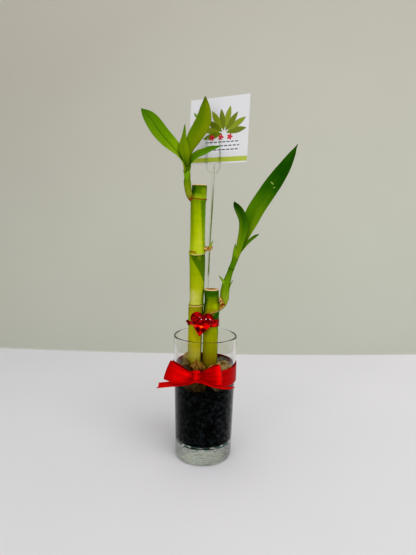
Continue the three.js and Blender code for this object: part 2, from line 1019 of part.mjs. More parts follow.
// Strap that holds the charm: a flat red band round both canes, wide on the right and drawn thin on
// the left, where its end is twisted into a small nub.
function charmBand() {
  const loop = new THREE.Path();
  const [left, right] = [TALL_CANE, SHORT_CANE].map(({ axis, radius }) => {
    const [x, y] = caneCentre(axis, BAND.middle);
    return { x, y, r: along(radius, BAND.middle) + GAP };
  });
  const lean = Math.atan2(right.y - left.y, right.x - left.x);
  loop.absarc(left.x, left.y, left.r, lean + Math.PI / 2, lean + (3 * Math.PI) / 2, false);
  loop.absarc(right.x, right.y, right.r, lean - Math.PI / 2, lean + Math.PI / 2, false);
  const outline = loop.getSpacedPoints(36).map((point) => [point.x, point.y]);
  outline.pop();
  const strap = hoop(outline, BAND.thickness, (x) => {
    const share = THREE.MathUtils.smoothstep(x, left.x - left.r, right.x);
    const half = THREE.MathUtils.lerp(BAND.drawnHeight, BAND.height, share) / 2;
    const middle = BAND.middle + BAND.drawnRise * (1 - share);
    return [middle - half, middle + half];
  });
  const edge = left.x - left.r;
  const nubHeight = BAND.middle + BAND.drawnRise;
  const nub = stalk({
    spine: [
      [edge - 0.4, left.y - 1, nubHeight],
      [edge - 2.2, left.y - 2, nubHeight - 0.5],
      [edge - 4.4, left.y - 2.4, nubHeight],
    ],
    radius: [
      [0, 0.9],
      [0.5, 0.7],
      [0.8, 1.4],
      [1, 0.7],
    ],
    rings: 6,
    sides: 8,
  });
  return joined(strap, nub);
}

// Heart charm: cut acrylic with a flat table, a band of crown facets and a shallow back.
function heartCharm() {
  const lobe = HEART.width * 0.27;
  const shoulder = HEART.height / 2 - lobe;
  const outline = new THREE.Shape();
  outline.moveTo(0, -HEART.height / 2);
  outline.lineTo(HEART.width / 2 - 0.7, shoulder - lobe * 0.55);
  outline.absarc(HEART.width / 2 - lobe, shoulder, lobe, -0.35, Math.PI * 0.86, false);
  outline.absarc(lobe - HEART.width / 2, shoulder, lobe, Math.PI * 0.14, Math.PI + 0.35, false);
  const rim = outline.getPoints(7);
  if (rim[0].distanceTo(rim.at(-1)) < 0.01) rim.pop();
  const layers = [
    [3.4, 0.72],
    [0.9, 1],
    [-0.6, 1],
    [-2.6, 0.84],
    [-3.8, 0.5],
  ];
  const pinch = new THREE.Vector2(0, HEART.height * 0.08);
  const vertices = layers.flatMap(([depth, share]) =>
    rim.map((point) => {
      const pulled = point.clone().lerp(pinch, 1 - share);
      return new THREE.Vector3(pulled.x, depth, pulled.y);
    }),
  );
  const sides = rim.length;
  const back = vertices.push(new THREE.Vector3(pinch.x, layers[0][0], pinch.y)) - 1;
  const front = vertices.push(new THREE.Vector3(pinch.x, layers.at(-1)[0], pinch.y)) - 1;
  const triangles = [];
  for (let side = 0; side < sides; side += 1) {
    const next = (side + 1) % sides;
    for (let layer = 0; layer + 1 < layers.length; layer += 1) {
      const a = layer * sides + side;
      const b = layer * sides + next;
      triangles.push([a, b, b + sides], [a, b + sides, a + sides]);
    }
    const last = (layers.length - 1) * sides;
    triangles.push([back, next, side], [front, last + side, last + next]);
  }
  return solidFrom(vertices, triangles);
}

const cardTurn = new THREE.Matrix4()
  .makeRotationFromEuler(new THREE.Euler(CARD.pitch, CARD.roll, CARD.yaw, "ZYX"))
  .setPosition(...CARD.centre);

function card(grow = 0) {
  const sheet = new THREE.BoxGeometry(CARD.width + 2 * grow, CARD.thickness + 2 * grow, CARD.height + 2 * grow);
  return solidOf(sheet.applyMatrix4(cardTurn));
}

// Clear pick: a three-pronged head that grips the card, two prongs in front of it and one behind,
// on a slim stick that runs down behind the canes into the gravel.
function pick(grow = 0) {
  const alongCard = new THREE.Vector3(Math.cos(CARD.yaw), Math.sin(CARD.yaw), 0);
  const towardViewer = new THREE.Vector3(alongCard.y, -alongCard.x, 0);
  const lean = Math.tan(-CARD.pitch); // the head stands parallel to the card
  const onCard = (z) => new THREE.Vector3(...PICK.foot, z).addScaledVector(towardViewer, (CARD.centre[2] - z) * lean);
  const rise = (CARD.thickness + PICK.depth) / 2 + PICK.grip;
  const bar = (points, width) =>
    strip(
      {
        spine: points.map(([side, out, up]) =>
          onCard(PICK.join + up)
            .addScaledVector(alongCard, side)
            .addScaledVector(towardViewer, out)
            .toArray(),
        ),
        facing: [
          [0, ...towardViewer.toArray()],
          [1, ...towardViewer.toArray()],
        ],
        halfWidth: [
          [0, width / 2],
          [1, width / 2],
        ],
        curl: [
          [0, 0.02],
          [1, 0.02],
        ],
        thickness: PICK.depth,
        rows: 10,
        columns: 2,
      },
      grow,
    );
  const reach = PICK.tip - PICK.join;
  const side = (PICK.headWidth - PICK.prong) / 2;
  const outer = [-side, side].map((x) =>
    bar(
      [
        [0, 0, 0],
        [x * 0.72, 0.4, 1.6],
        [x, rise, 6.5],
        [x, rise, 9],
        [x, rise + 0.2, reach * 0.6],
        [x, rise + 0.6, reach],
      ],
      PICK.prong,
    ),
  );
  const middle = bar(
    [
      [0, 0, -1],
      [0, -0.3, 3],
      [0, -rise, 7.5],
      [0, -rise, 14],
      [0, -rise - 0.5, reach * 0.8],
    ],
    PICK.prong,
  );
  const stick = strip(
    {
      spine: [
        onCard(PICK.join + 1).toArray(),
        [2.8, 11.2, 222],
        [1.5, 11.6, 194],
        [0.8, 11.8, 164],
        [0, 12, 110],
        [-0.6, 12, 34],
      ],
      facing: [
        [0, ...towardViewer.toArray()],
        [1, ...towardViewer.toArray()],
      ],
      halfWidth: [
        [0, PICK.stickWidth / 2],
        [0.9, PICK.stickWidth / 2],
        [1, 0.4],
      ],
      curl: [
        [0, 0.02],
        [1, 0.02],
      ],
      thickness: PICK.stickDepth,
      rows: 24,
      columns: 2,
    },
    grow,
  );
  return joined(stick, middle, ...outer);
}

// Colours, roughness and clearness of each material.
const FINISH = {
  glass: { color: 0xdfe8e4, roughness: 0.05, metalness: 0, transparent: true, opacity: 0.3 },
  gravel: { color: 0x14181a, roughness: 0.7, metalness: 0 },
  pebble: { color: 0x7a6244, roughness: 0.45, metalness: 0 },
  cane: { color: 0x97a716, roughness: 0.4, metalness: 0 },
  shoot: { color: 0x6f9a1a, roughness: 0.4, metalness: 0 },
  leaf: { color: 0x3f8a12, roughness: 0.35, metalness: 0 },
  satin: { color: 0xd10a0c, roughness: 0.35, metalness: 0 },
  acrylic: { color: 0xc00a14, roughness: 0.05, metalness: 0 },
  card: { color: 0xe9e6ea, roughness: 0.6, metalness: 0 },
  clear: { color: 0xdadfd8, roughness: 0.08, metalness: 0, transparent: true, opacity: 0.4 },
};
const materials = Object.fromEntries(
  Object.entries(FINISH).map(([name, look]) => [name, new THREE.MeshStandardMaterial(look)]),
);

const bamboo = new THREE.Group();

function place(name, solid, material) {
  const { vertProperties, triVerts, numProp } = solid.getMesh();
  const positions = new Float32Array((vertProperties.length / numProp) * 3);
  for (let i = 0; i * 3 < positions.length; i += 1)
    positions.set(vertProperties.subarray(i * numProp, i * numProp + 3), i * 3);
  const geometry = new THREE.BufferGeometry();
  geometry.setAttribute("position", new THREE.BufferAttribute(positions, 3));
  geometry.setIndex(new THREE.BufferAttribute(triVerts, 1));
  geometry.computeVertexNormals();
  const mesh = new THREE.Mesh(geometry, materials[material]);
  mesh.name = name;
  bamboo.add(mesh);
  return mesh;
}

// The canes come first; what leans on them is cut back to stand clear of them.
const tallCaneRoom = cane(TALL_CANE, GAP);
const shortCaneRoom = cane(SHORT_CANE, GAP);
place("glass", glass(), "glass");
place("tall_cane", cane(TALL_CANE), "cane");
place("short_cane", cane(SHORT_CANE), "cane");

const pebbles = Object.values(PEBBLES);
for (const [name, stone] of Object.entries(PEBBLES)) place(name, pebble(stone), "pebble");
place("gravel", gravel(tallCaneRoom, shortCaneRoom, pick(GAP), ...pebbles.map((stone) => pebble(stone, GAP))), "gravel");

const shortShootWith = (grow) =>
  joined(stalk(SHORT_SHOOT, grow), ...SHORT_SHOOT_SHEATHS.map((sheath) => strip(sheath, grow)));
place("tall_shoot_stem", clearOf(stalk(TALL_SHOOT), tallCaneRoom), "shoot");
place("short_shoot_stem", clearOf(shortShootWith(0), shortCaneRoom), "shoot");
place("side_bud", clearOf(joined(stalk(BUD_CUSHION), stalk(BUD_TIP)), tallCaneRoom), "shoot");

// Each leaf is cut back where its sheath would run into the stem or a leaf placed before it.
const LEAF_ORDER = [
  { stem: stalk(TALL_SHOOT, GAP), leaves: ["leaf_upright", "leaf_left", "leaf_small_right", "leaf_furled"] },
  { stem: shortShootWith(GAP), leaves: ["leaf_small_left", "leaf_big", "leaf_spur"] },
];
for (const { stem, leaves } of LEAF_ORDER) {
  const taken = [stem];
  for (const name of leaves) {
    place(name, clearOf(strip(LEAVES[name]), ...taken), "leaf");
    taken.push(strip(LEAVES[name], GAP));
  }
}

place("ribbon", ribbon(), "satin");
place("charm_band", charmBand(), "satin");
const heart = place("heart_charm", heartCharm(), "acrylic");
heart.rotation.y = HEART.tilt;
heart.position.set(...HEART.centre);
place("card", card(), "card");
place("card_pick", clearOf(pick(), card(GAP)), "clear");

export default bamboo;
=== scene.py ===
"""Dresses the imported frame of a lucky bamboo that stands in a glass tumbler.

Two cut canes of a ribbon dracaena, each with a side shoot in leaf, stand in black gravel under river
pebbles. A satin bow is tied round the glass, a heart charm is strapped to the canes, and a clear pick
holds a square card behind them. Sizes are in millimetres in the part's own frame: +X is right, +Y is
away from the viewer, +Z is up, and the origin is the centre of the tumbler's underside.
"""

from __future__ import annotations

import logging
import math
from collections.abc import Callable, Sequence
from dataclasses import dataclass, field
from enum import Enum
from functools import partial

import bmesh
import bpy
import numpy as np
from mathutils import Euler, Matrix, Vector, noise

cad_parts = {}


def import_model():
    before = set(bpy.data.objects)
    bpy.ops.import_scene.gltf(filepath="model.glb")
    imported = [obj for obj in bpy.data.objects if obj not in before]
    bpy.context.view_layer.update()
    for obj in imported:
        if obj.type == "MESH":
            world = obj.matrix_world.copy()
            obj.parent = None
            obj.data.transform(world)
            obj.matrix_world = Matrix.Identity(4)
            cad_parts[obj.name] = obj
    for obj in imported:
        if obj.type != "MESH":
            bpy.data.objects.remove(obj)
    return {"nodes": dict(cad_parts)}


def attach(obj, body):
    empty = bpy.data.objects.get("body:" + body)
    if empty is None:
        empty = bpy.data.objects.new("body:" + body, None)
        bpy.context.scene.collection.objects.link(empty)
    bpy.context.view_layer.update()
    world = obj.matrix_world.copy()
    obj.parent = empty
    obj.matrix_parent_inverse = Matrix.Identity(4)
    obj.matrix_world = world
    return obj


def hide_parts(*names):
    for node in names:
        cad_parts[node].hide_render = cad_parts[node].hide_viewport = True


MM = 0.001
BODY = "root"
log = logging.getLogger("lucky_bamboo")

Point = tuple[float, float, float]
Table = Sequence[tuple[float, float]]
Stops = Sequence[tuple[float, object]]
Material = bpy.types.Material
Node = bpy.types.Node
Put = Callable[..., Node]


def linear(hex_colour: str) -> tuple[float, float, float, float]:
    """Turns an sRGB hex colour into the linear colour that a shader socket takes.

    Args:
        hex_colour: Six digits after a hash sign.

    Returns:
        Red, green, blue and an alpha of 1.
    """
    channels = [int(hex_colour[k : k + 2], 16) / 255 for k in (1, 3, 5)]
    straight = [c / 12.92 if c <= 0.04045 else ((c + 0.055) / 1.055) ** 2.4 for c in channels]
    return (*straight, 1)


def ramp(*texts: str) -> Stops:
    """Reads places and hex colours, one after the other, from texts."""
    words = " ".join(texts).split()
    return tuple((float(place), tone) for place, tone in zip(words[::2], words[1::2]))


def fill_ramp(blend: bpy.types.ColorRamp, stops: Stops) -> None:
    """Gives a colour ramp its stops.

    Args:
        blend: The ramp.
        stops: Position, and hex colour or grey value, of each stop in order.
    """
    while len(blend.elements) > 1:
        blend.elements.remove(blend.elements[-1])
    for number, (position, tone) in enumerate(stops):
        stop = blend.elements.new(position) if number else blend.elements[0]
        stop.position = position
        stop.color = linear(tone) if isinstance(tone, str) else (tone, tone, tone, 1)


# Settings that a kind of node has wherever it is used. Values in order are, for a noise: place, scale,
# detail, roughness; for a map range: value, low, high and what they become; for a mix: share, from, to
USUAL = {"Mix": {"data_type": "RGBA"}, "UVMap": {"uv_map": "UVMap"}}


def add_node(
    tree: bpy.types.NodeTree, kind: str, inputs: Sequence | dict = (), **settings: object
) -> Node:
    """Adds one node to a tree, with its settings, its values and its links.

    Args:
        tree: The shader or geometry tree.
        kind: The node's type, short of what all nodes of the tree share, and its operation if it has one.
        inputs: Values for the node's sockets, in order or by name. A node or a socket is linked, a hex
            colour is turned to linear, and None leaves the socket as it is.
        **settings: Properties of the node itself. Stops fill its colour ramp.

    Returns:
        The new node.
    """
    kind, _, operation = kind.partition(" ")
    node = tree.nodes.new(kind if "Node" in kind else tree.bl_idname.removesuffix("Tree") + kind)
    if operation:
        settings["operation"] = operation
    for name, value in {**USUAL.get(kind, {}), **settings}.items():
        if name == "stops":
            fill_ramp(node.color_ramp, value)
        else:
            setattr(node, name, value)
    if isinstance(inputs, dict):
        pairs = [(node.inputs[name], value) for name, value in inputs.items()]
    else:
        pairs = zip([socket for socket in node.inputs if socket.enabled], inputs)
    for socket, value in pairs:
        if isinstance(value, Node):
            value = next(out for out in value.outputs if out.enabled)
        if isinstance(value, bpy.types.NodeSocket):
            tree.links.new(value, socket)
        elif value is not None:
            socket.default_value = linear(value) if isinstance(value, str) else value
    return node


def new_material(name: str) -> tuple[Material, Put]:
    """Starts a material with an empty tree.

    Args:
        name: The material's name.

    Returns:
        The material, and the function that adds a node to its tree.
    """
    material = bpy.data.materials.new(name)
    material.use_nodes = True
    material.node_tree.nodes.clear()
    return material, partial(add_node, material.node_tree)


def shade(put: Put, **values: object) -> None:
    """Ends a material's tree with its Principled shader.

    Args:
        put: Adds a node to the material.
        **values: Values or nodes for the shader's sockets, with underscores for spaces.
    """
    inputs = {name.replace("_", " "): value for name, value in values.items()}
    put("OutputMaterial", [put("BsdfPrincipled", inputs)])


def along(table: Table, t: float) -> float:
    """Reads a table of positions and values smoothly, level past both ends.

    Args:
        table: Pairs of position and value, in order.
        t: The position.

    Returns:
        The value there.
    """
    last = len(table) - 1
    if t <= table[0][0]:
        return table[0][1]
    if t >= table[last][0]:
        return table[last][1]
    k = next(i for i in range(last) if table[i + 1][0] > t)
    slopes = []
    for i in (k, k + 1):
        before, after = table[max(i - 1, 0)], table[min(i + 1, last)]
        slopes.append((after[1] - before[1]) / (after[0] - before[0]))
    (start, low), (end, high) = table[k], table[k + 1]
    span = end - start
    s = (t - start) / span
    rest = 1 - s
    blend = low * (1 + 2 * s) * rest * rest + high * s * s * (3 - 2 * s)
    return blend + span * s * rest * (slopes[0] * rest - slopes[1] * s)


def curve_through(points: Sequence[Point], count: int) -> tuple[np.ndarray, np.ndarray]:
    """Even steps along a smooth curve through points, the same curve as the part's source draws.

    Args:
        points: The points that the curve goes through.
        count: How many places to return.

    Returns:
        The places and the unit directions there, each with a row for every step.
    """
    p = np.array(points, float)
    p = np.vstack([2 * p[0] - p[1], p, 2 * p[-1] - p[-2]])
    gaps = np.sqrt(np.linalg.norm(np.diff(p, axis=0), axis=1))
    s = np.linspace(0, 1, 40, endpoint=False)[:, None]
    dense = []
    for k in range(1, len(p) - 2):
        a, b, c = gaps[k - 1 : k + 2]
        x0, x1, x2, x3 = p[k - 1 : k + 3]
        leave = b * ((x1 - x0) / a - (x2 - x0) / (a + b) + (x2 - x1) / b)
        arrive = b * ((x2 - x1) / b - (x3 - x1) / (b + c) + (x3 - x2) / c)
        cubic = 2 * x1 - 2 * x2 + leave + arrive
        square = -3 * x1 + 3 * x2 - 2 * leave - arrive
        dense.append(x1 + s * leave + s**2 * square + s**3 * cubic)
    line = np.vstack([*dense, p[-2:-1]])
    length = np.concatenate([[0], np.cumsum(np.linalg.norm(np.diff(line, axis=0), axis=1))])
    wanted = np.linspace(0, length[-1], count)
    places = np.column_stack([np.interp(wanted, length, line[:, k]) for k in range(3)])
    return places, unit(np.gradient(places, axis=0))


def unit(vectors: np.ndarray) -> np.ndarray:
    """Vectors of length 1 in the same directions."""
    return vectors / np.linalg.norm(vectors, axis=-1, keepdims=True)


def eased(share: np.ndarray) -> np.ndarray:
    """Smooth step of a share, from 0 at 0 and below to 1 at 1 and above."""
    held = np.clip(share, 0, 1)
    return held**2 * (3 - 2 * held)


def lumps_at(points: np.ndarray, size: float, seed: float = 0.0) -> np.ndarray:
    """Smooth noise from -1 to 1 at points in millimetres.

    Args:
        points: One row for each point.
        size: Size of a lump in millimetres.
        seed: Moves the noise, so that two pieces differ.

    Returns:
        One value for each point.
    """
    moved = points.reshape(-1, 3) / size + seed
    return np.array([noise.noise(Vector(p)) for p in moved]).reshape(points.shape[:-1])


@dataclass
class Shape:
    """A closed mesh in the making, in millimetres, with surface coordinates and material slots."""

    vertices: np.ndarray
    faces: list[tuple[int, ...]]
    uv: np.ndarray | None = None
    slots: list[int] | None = None
    goes_round: bool = False  # u runs from 0 to 1 round the piece, and one column spans the seam

    def __post_init__(self) -> None:
        """Fills in bare surface coordinates and the first material where none are given."""
        self.uv = np.zeros((len(self.vertices), 2)) if self.uv is None else self.uv
        self.slots = [0] * len(self.faces) if self.slots is None else self.slots

    def with_others(self, *others: Shape) -> Shape:
        """Joins this shape and others into one.

        Args:
            *others: The other shapes.

        Returns:
            The joined shape.
        """
        every = (self, *others)
        starts = np.cumsum([0] + [len(shape.vertices) for shape in every])
        faces = []
        for shape, start in zip(every, starts.tolist()):
            faces += [tuple(v + start for v in face) for face in shape.faces]
        slots = [slot for shape in every for slot in shape.slots]
        vertices = np.vstack([shape.vertices for shape in every])
        return Shape(vertices, faces, np.vstack([shape.uv for shape in every]), slots, self.goes_round)

    def mesh(self, name: str, smooth: bool) -> bpy.types.Mesh:
        """Makes a mesh of the shape, in metres and with its faces outwards.

        Args:
            name: The mesh's name.
            smooth: False where the facets show.

        Returns:
            The mesh, without materials.
        """
        mesh = bpy.data.meshes.new(name)
        mesh.from_pydata((self.vertices * MM).tolist(), [], self.faces)
        mesh.polygons.foreach_set("material_index", self.slots)
        mesh.polygons.foreach_set("use_smooth", [smooth] * len(mesh.polygons))
        corners = np.empty(len(mesh.loops), np.int32)
        mesh.loops.foreach_get("vertex_index", corners)
        uv = self.uv[corners].copy()
        if self.goes_round:
            for polygon in mesh.polygons:
                loops = list(polygon.loop_indices)
                if np.ptp(uv[loops, 0]) > 0.5:
                    uv[loops, 0] += uv[loops, 0] < 0.5
        mesh.uv_layers.new(name="UVMap").data.foreach_set("uv", uv.ravel().astype(np.float32))
        turn_outwards(mesh)
        return mesh

    def in_slot(self, number: int) -> Shape:
        """The same shape with all its faces in one material slot."""
        return Shape(self.vertices, self.faces, self.uv, [number] * len(self.faces), self.goes_round)


def plate(front: np.ndarray, back: np.ndarray, uv: np.ndarray) -> Shape:
    """A closed plate between two grids of points.

    Args:
        front: Rows by columns of points on the front.
        back: The same on the back.
        uv: Surface coordinates of the grid.

    Returns:
        The plate with its four edges closed.
    """
    rows, columns = front.shape[:2]
    number = np.arange(2 * rows * columns).reshape(2, rows, columns)
    corners = (number[:, :-1, :-1], number[:, :-1, 1:], number[:, 1:, 1:], number[:, 1:, :-1])
    cells = np.stack([c.reshape(2, -1) for c in corners], axis=-1)
    faces = [tuple(f) for f in cells[0].tolist()] + [tuple(reversed(f)) for f in cells[1].tolist()]
    border = [(0, c) for c in range(columns)] + [(r, columns - 1) for r in range(1, rows)]
    border += [(rows - 1, c) for c in range(columns - 2, -1, -1)] + [(r, 0) for r in range(rows - 2, 0, -1)]
    for here, there in zip(border, border[1:] + border[:1]):
        loop = (number[0][there], number[0][here], number[1][here], number[1][there])
        faces.append(tuple(int(v) for v in loop))
    flat = uv.reshape(-1, 2)
    vertices = np.vstack([front.reshape(-1, 3), back.reshape(-1, 3)])
    return Shape(vertices, faces, np.vstack([flat, flat]))


def skin(rings: np.ndarray, v: np.ndarray, cap_slot: int = 0) -> Shape:
    """A closed skin over rings of points, with a fan at each end.

    Args:
        rings: Rings by points round each ring.
        v: Surface coordinate of each ring.
        cap_slot: Material number of the two ends.

    Returns:
        The closed skin, with u from 0 to 1 round each ring.
    """
    count, sides = rings.shape[:2]
    number = np.arange(count * sides).reshape(count, sides)
    after = np.roll(number, -1, axis=1)
    walls = np.stack([number[:-1], after[:-1], after[1:], number[1:]], axis=-1).reshape(-1, 4)
    low, high = count * sides, count * sides + 1
    faces = [tuple(face) for face in walls.tolist()]
    faces += [(low, b, a) for a, b in zip(number[0].tolist(), after[0].tolist())]
    faces += [(high, a, b) for a, b in zip(number[-1].tolist(), after[-1].tolist())]
    slots = [0] * len(walls) + [cap_slot] * (2 * sides)
    vertices = np.vstack([rings.reshape(-1, 3), rings[0].mean(0), rings[-1].mean(0)])
    uv = np.column_stack([np.tile(np.arange(sides) / sides, count), np.repeat(v, sides)])
    uv = np.vstack([uv, [[0.5, v[0]], [0.5, v[-1]]]])
    return Shape(vertices, faces, uv, slots, goes_round=True)


def turned(profile: Table, sides: int) -> np.ndarray:
    """Rings of points for a turned piece.

    Args:
        profile: Radius and height of each ring.
        sides: Points round each ring.

    Returns:
        The rings, each starting at the back and running by the left to the front.
    """
    angle = math.pi / 2 + 2 * np.pi * np.arange(sides) / sides
    radius, height = np.array(profile, float).T
    level = np.repeat(height[:, None], sides, axis=1)
    return np.stack([radius[:, None] * np.cos(angle), radius[:, None] * np.sin(angle), level], axis=-1)


def arc(centre: tuple[float, float], radius: float, start: float, end: float, steps: int) -> list:
    """Points of an arc in a flat outline.

    Args:
        centre: The arc's centre.
        radius: Its radius.
        start: Its first angle.
        end: Its last angle.
        steps: How many steps it has.

    Returns:
        The points.
    """
    angles = np.linspace(start, end, steps + 1)
    return [(centre[0] + radius * math.cos(a), centre[1] + radius * math.sin(a)) for a in angles]


def ball(detail: int) -> tuple[np.ndarray, list[tuple[int, ...]]]:
    """Points and faces of an evenly divided unit ball, to be shaped.

    Args:
        detail: How often it is divided.

    Returns:
        The points and the faces.
    """
    sphere = bmesh.new()
    bmesh.ops.create_icosphere(sphere, subdivisions=detail, radius=1)
    points = np.array([v.co for v in sphere.verts])
    faces = [tuple(v.index for v in face.verts) for face in sphere.faces]
    sphere.free()
    return points, faces


@dataclass(frozen=True)
class Strip:
    """A leaf blade or a length of ribbon: a strip along a spine whose section is an arc.

    The tables give a position along it, from 0 to 1, and a value there.
    """

    spine: Sequence[Point]
    facing: Sequence[tuple[float, float, float, float]]  # where its hollow side looks
    half_width: Table
    curl: Table  # half the arc's angle
    ripple: float = 0.0  # height of the waves at its edges
    thickness: float = 0.7
    edge: float = 0.4  # share of the thickness that is left at its edges
    groove: float = 0.0  # depth of the groove down its middle
    groove_reach: float = 0.08  # as a share of the half width
    least_curl: float = 0.02
    pleats: Table = ((0, 0), (1, 0))  # depth of the pleats that run along it
    pleat_count: float = 2.5
    rows: int = 64
    columns: int = 24

    def shape(self, in_millimetres: bool = False) -> Shape:
        """Builds the strip.

        Args:
            in_millimetres: Gives the surface coordinates in millimetres instead of from 0 to 1.

        Returns:
            The closed plate.
        """
        v = np.linspace(0, 1, self.rows + 1)
        middle, tangent = curve_through(self.spine, self.rows + 1)
        tables = [[(entry[0], entry[k]) for entry in self.facing] for k in (1, 2, 3)]
        normal = np.array([[along(table, t) for table in tables] for t in v])
        normal = unit(normal - (normal * tangent).sum(1)[:, None] * tangent)[:, None]
        across = np.cross(tangent, normal[:, 0])[:, None]
        width = np.array([along(self.half_width, t) for t in v])[:, None]
        bend = np.array([max(along(self.curl, t), self.least_curl) for t in v])[:, None]
        fold = np.array([along(self.pleats, t) for t in v])[:, None]
        u = np.linspace(-1, 1, self.columns + 1)[None, :]
        angle = u * bend
        wave = self.ripple * u**2 * np.sin(3 * np.pi * v[:, None] + u)
        wave = wave + fold * np.sin(np.pi * self.pleat_count * u + 2.2 * v[:, None])
        side = (width * np.sin(angle) / bend)[..., None]
        lift = (width * (1 - np.cos(angle)) / bend + wave)[..., None]
        points = middle[:, None] + across * side + normal * lift
        out = normal * np.cos(angle)[..., None] - across * np.sin(angle)[..., None]
        half = self.thickness / 2 * (self.edge + (1 - self.edge) * np.sqrt(1 - u**2))
        faded = np.sin(np.pi * np.clip(v, 0.08, 0.92))[:, None]
        rib = self.groove * np.exp(-((u / self.groove_reach) ** 2)) * faded
        front = points + out * (half - rib)[..., None]
        back = points - out * (half + 0.5 * rib)[..., None]
        length = np.linalg.norm(np.diff(middle, axis=0), axis=1).sum()
        spread = (u * width, v[:, None] * length) if in_millimetres else ((u + 1) / 2, v[:, None])
        return plate(front, back, np.stack(np.broadcast_arrays(*spread), axis=-1))


@dataclass(frozen=True)
class Stalk:
    """A round, lumpy stem along a spine, its radius a table of positions from 0 to 1."""

    spine: Sequence[Point]
    radius: Table
    lump: float = 0.0
    lump_size: float = 2.0
    rings: int = 60
    sides: int = 28

    def shape(self) -> Shape:
        """Builds the stem with u round it and v from 0 to 1 along it.

        Returns:
            The closed stem.
        """
        middle, tangent = curve_through(self.spine, self.rings + 1)
        share = np.linspace(0, 1, self.rings + 1)
        side = np.cross(tangent[0], [0, 1, 0])
        frames = []
        for direction in tangent:
            side = unit(side - direction * side.dot(direction))
            frames.append((side, np.cross(direction, side)))
        frames = np.array(frames)
        angle = (2 * np.pi * np.arange(self.sides) / self.sides)[None, :, None]
        out = frames[:, None, 0] * np.cos(angle) + frames[:, None, 1] * np.sin(angle)
        radius = np.array([along(self.radius, t) for t in share])[:, None]
        rings = middle[:, None] + out * radius[..., None]
        if self.lump:
            rings = rings + out * (lumps_at(rings, self.lump_size) * self.lump)[..., None]
        return skin(rings, share)


def show(name: str, data: bpy.types.ID) -> bpy.types.Object:
    """Links a new object into the scene.

    Args:
        name: The object's name.
        data: Its mesh, camera or light.

    Returns:
        The object.
    """
    thing = bpy.data.objects.new(name, data)
    bpy.context.scene.collection.objects.link(thing)
    return thing


def turn_outwards(mesh: bpy.types.Mesh) -> None:
    """Turns every face of a closed mesh to look outwards.

    Args:
        mesh: The mesh.
    """
    shaper = bmesh.new()
    shaper.from_mesh(mesh)
    bmesh.ops.recalc_face_normals(shaper, faces=shaper.faces)
    shaper.to_mesh(mesh)
    shaper.free()


def dress(
    form: Shape | bpy.types.Mesh, name: str, materials: Sequence[Material], stands_for: str,
    smooth: bool = True,
) -> bpy.types.Object:
    """Makes a finished piece, with its finishes, its body and the node it stands for.

    Args:
        form: The closed shape, or a finished mesh.
        name: The piece's name.
        materials: Materials in the order of the form's slots.
        stands_for: The frame's node that it takes the place of.
        smooth: False where a shape's facets show.

    Returns:
        The piece's object.
    """
    mesh = form.mesh(name, smooth) if isinstance(form, Shape) else form
    piece = show(name, mesh)
    for material in materials:
        mesh.materials.append(material)
    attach(piece, BODY)
    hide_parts(stands_for)
    log.info("%s: %d faces in place of %s", name, len(mesh.polygons), stands_for)
    return piece


@dataclass(frozen=True)
class SodaLimeGlass:
    """Pressed soda-lime glass: clear, bright and dark lines at its edges, dark ones partly painted, a greener
    and duller thick foot.
    """

    tint: str = "#faf9f5"
    foot_tint: str = "#e9f1ee"
    speck_tint: str = "#8f9a96"
    painted_seam_shade: str = "#2e4a4c"  # painted dark refraction: the dark curve where the foot meets the gravel
    seam: tuple[float, float, float, float] = (14, 15.2, 17.2, 18.6)
    painted_rim_shade: str = "#5c625e"  # painted shade where the rim turns away at both sides
    rim: tuple[float, float, float, float] = (108.9, 109.7, 22, 26.5)
    mirrors: tuple[str, str, str] = ("#303030", "#303030", "#707070")  # how well each kind mirrors the room
    ior: float = 1.5
    water: float = 1.43  # the film also fills the pits between glass and grit

    def material(self, name: str, tint: str, mirror: str, ior: float, ripple: float = 0.0) -> Material:
        """Makes one kind of the glass.

        Args:
            name: The material's name.
            tint: Its tint.
            mirror: Tint of what it mirrors.
            ior: How far it bends light, against what it touches.
            ripple: How much the mould has left it uneven.

        Returns:
            The material.
        """
        material, put = new_material(name)
        place = put("TexCoord").outputs["Object"]
        x, _, level = put("SeparateXYZ", [place]).outputs
        # Painted dark refraction: a band round the foot where it meets the gravel, broken by noise
        breaks = put("TexNoise", [place, 190, 2])
        share = put("MapRange", [breaks, 0.44, 0.5])
        for none, full in (self.seam[:2], self.seam[:1:-1]):
            within = put("MapRange", [level, none * MM, full * MM])
            share = put("Math MULTIPLY", [share, within])
        colour = put("Mix", [share, tint, self.painted_seam_shade])
        # Painted shade where the rim turns away at both sides
        aside = put("Math ABSOLUTE", [x])
        share = put("MapRange", [level, self.rim[0] * MM, self.rim[1] * MM])
        at_side = put("MapRange", [aside, self.rim[2] * MM, self.rim[3] * MM])
        share = put("Math MULTIPLY", [share, at_side])
        colour = put("Mix", [share, colour, self.painted_rim_shade])
        values = {"Roughness": 0, "IOR": ior, "Specular_Tint": mirror}
        if ripple:
            flow = put("Mapping", {"Vector": place, "Scale": (220, 220, 900)})
            waves = put("TexNoise", [flow, 1, 2])
            specks = put("MapRange", [waves, 0.58, 0.66, 0, 1])
            colour = put("Mix", [specks, colour, self.speck_tint])
            bump = {"Strength": ripple, "Distance": 0.8 * MM, "Height": waves}
            values["Normal"] = put("Bump", bump)
        shade(put, Base_Color=colour, Transmission_Weight=1, **values)
        return material

    def materials(self) -> list[Material]:
        """Makes the clear wall, the wall that a film of water joins to the wet gravel, and the foot.

        Returns:
            The three materials, in the order of the tumbler's slots.
        """
        clear, wet, foot = self.mirrors
        return [
            self.material("soda_lime_glass", self.tint, clear, self.ior),
            self.material("soda_lime_glass_wetted", self.tint, wet, self.ior / self.water),
            self.material("soda_lime_glass_foot", self.foot_tint, foot, self.ior, 1)
        ]


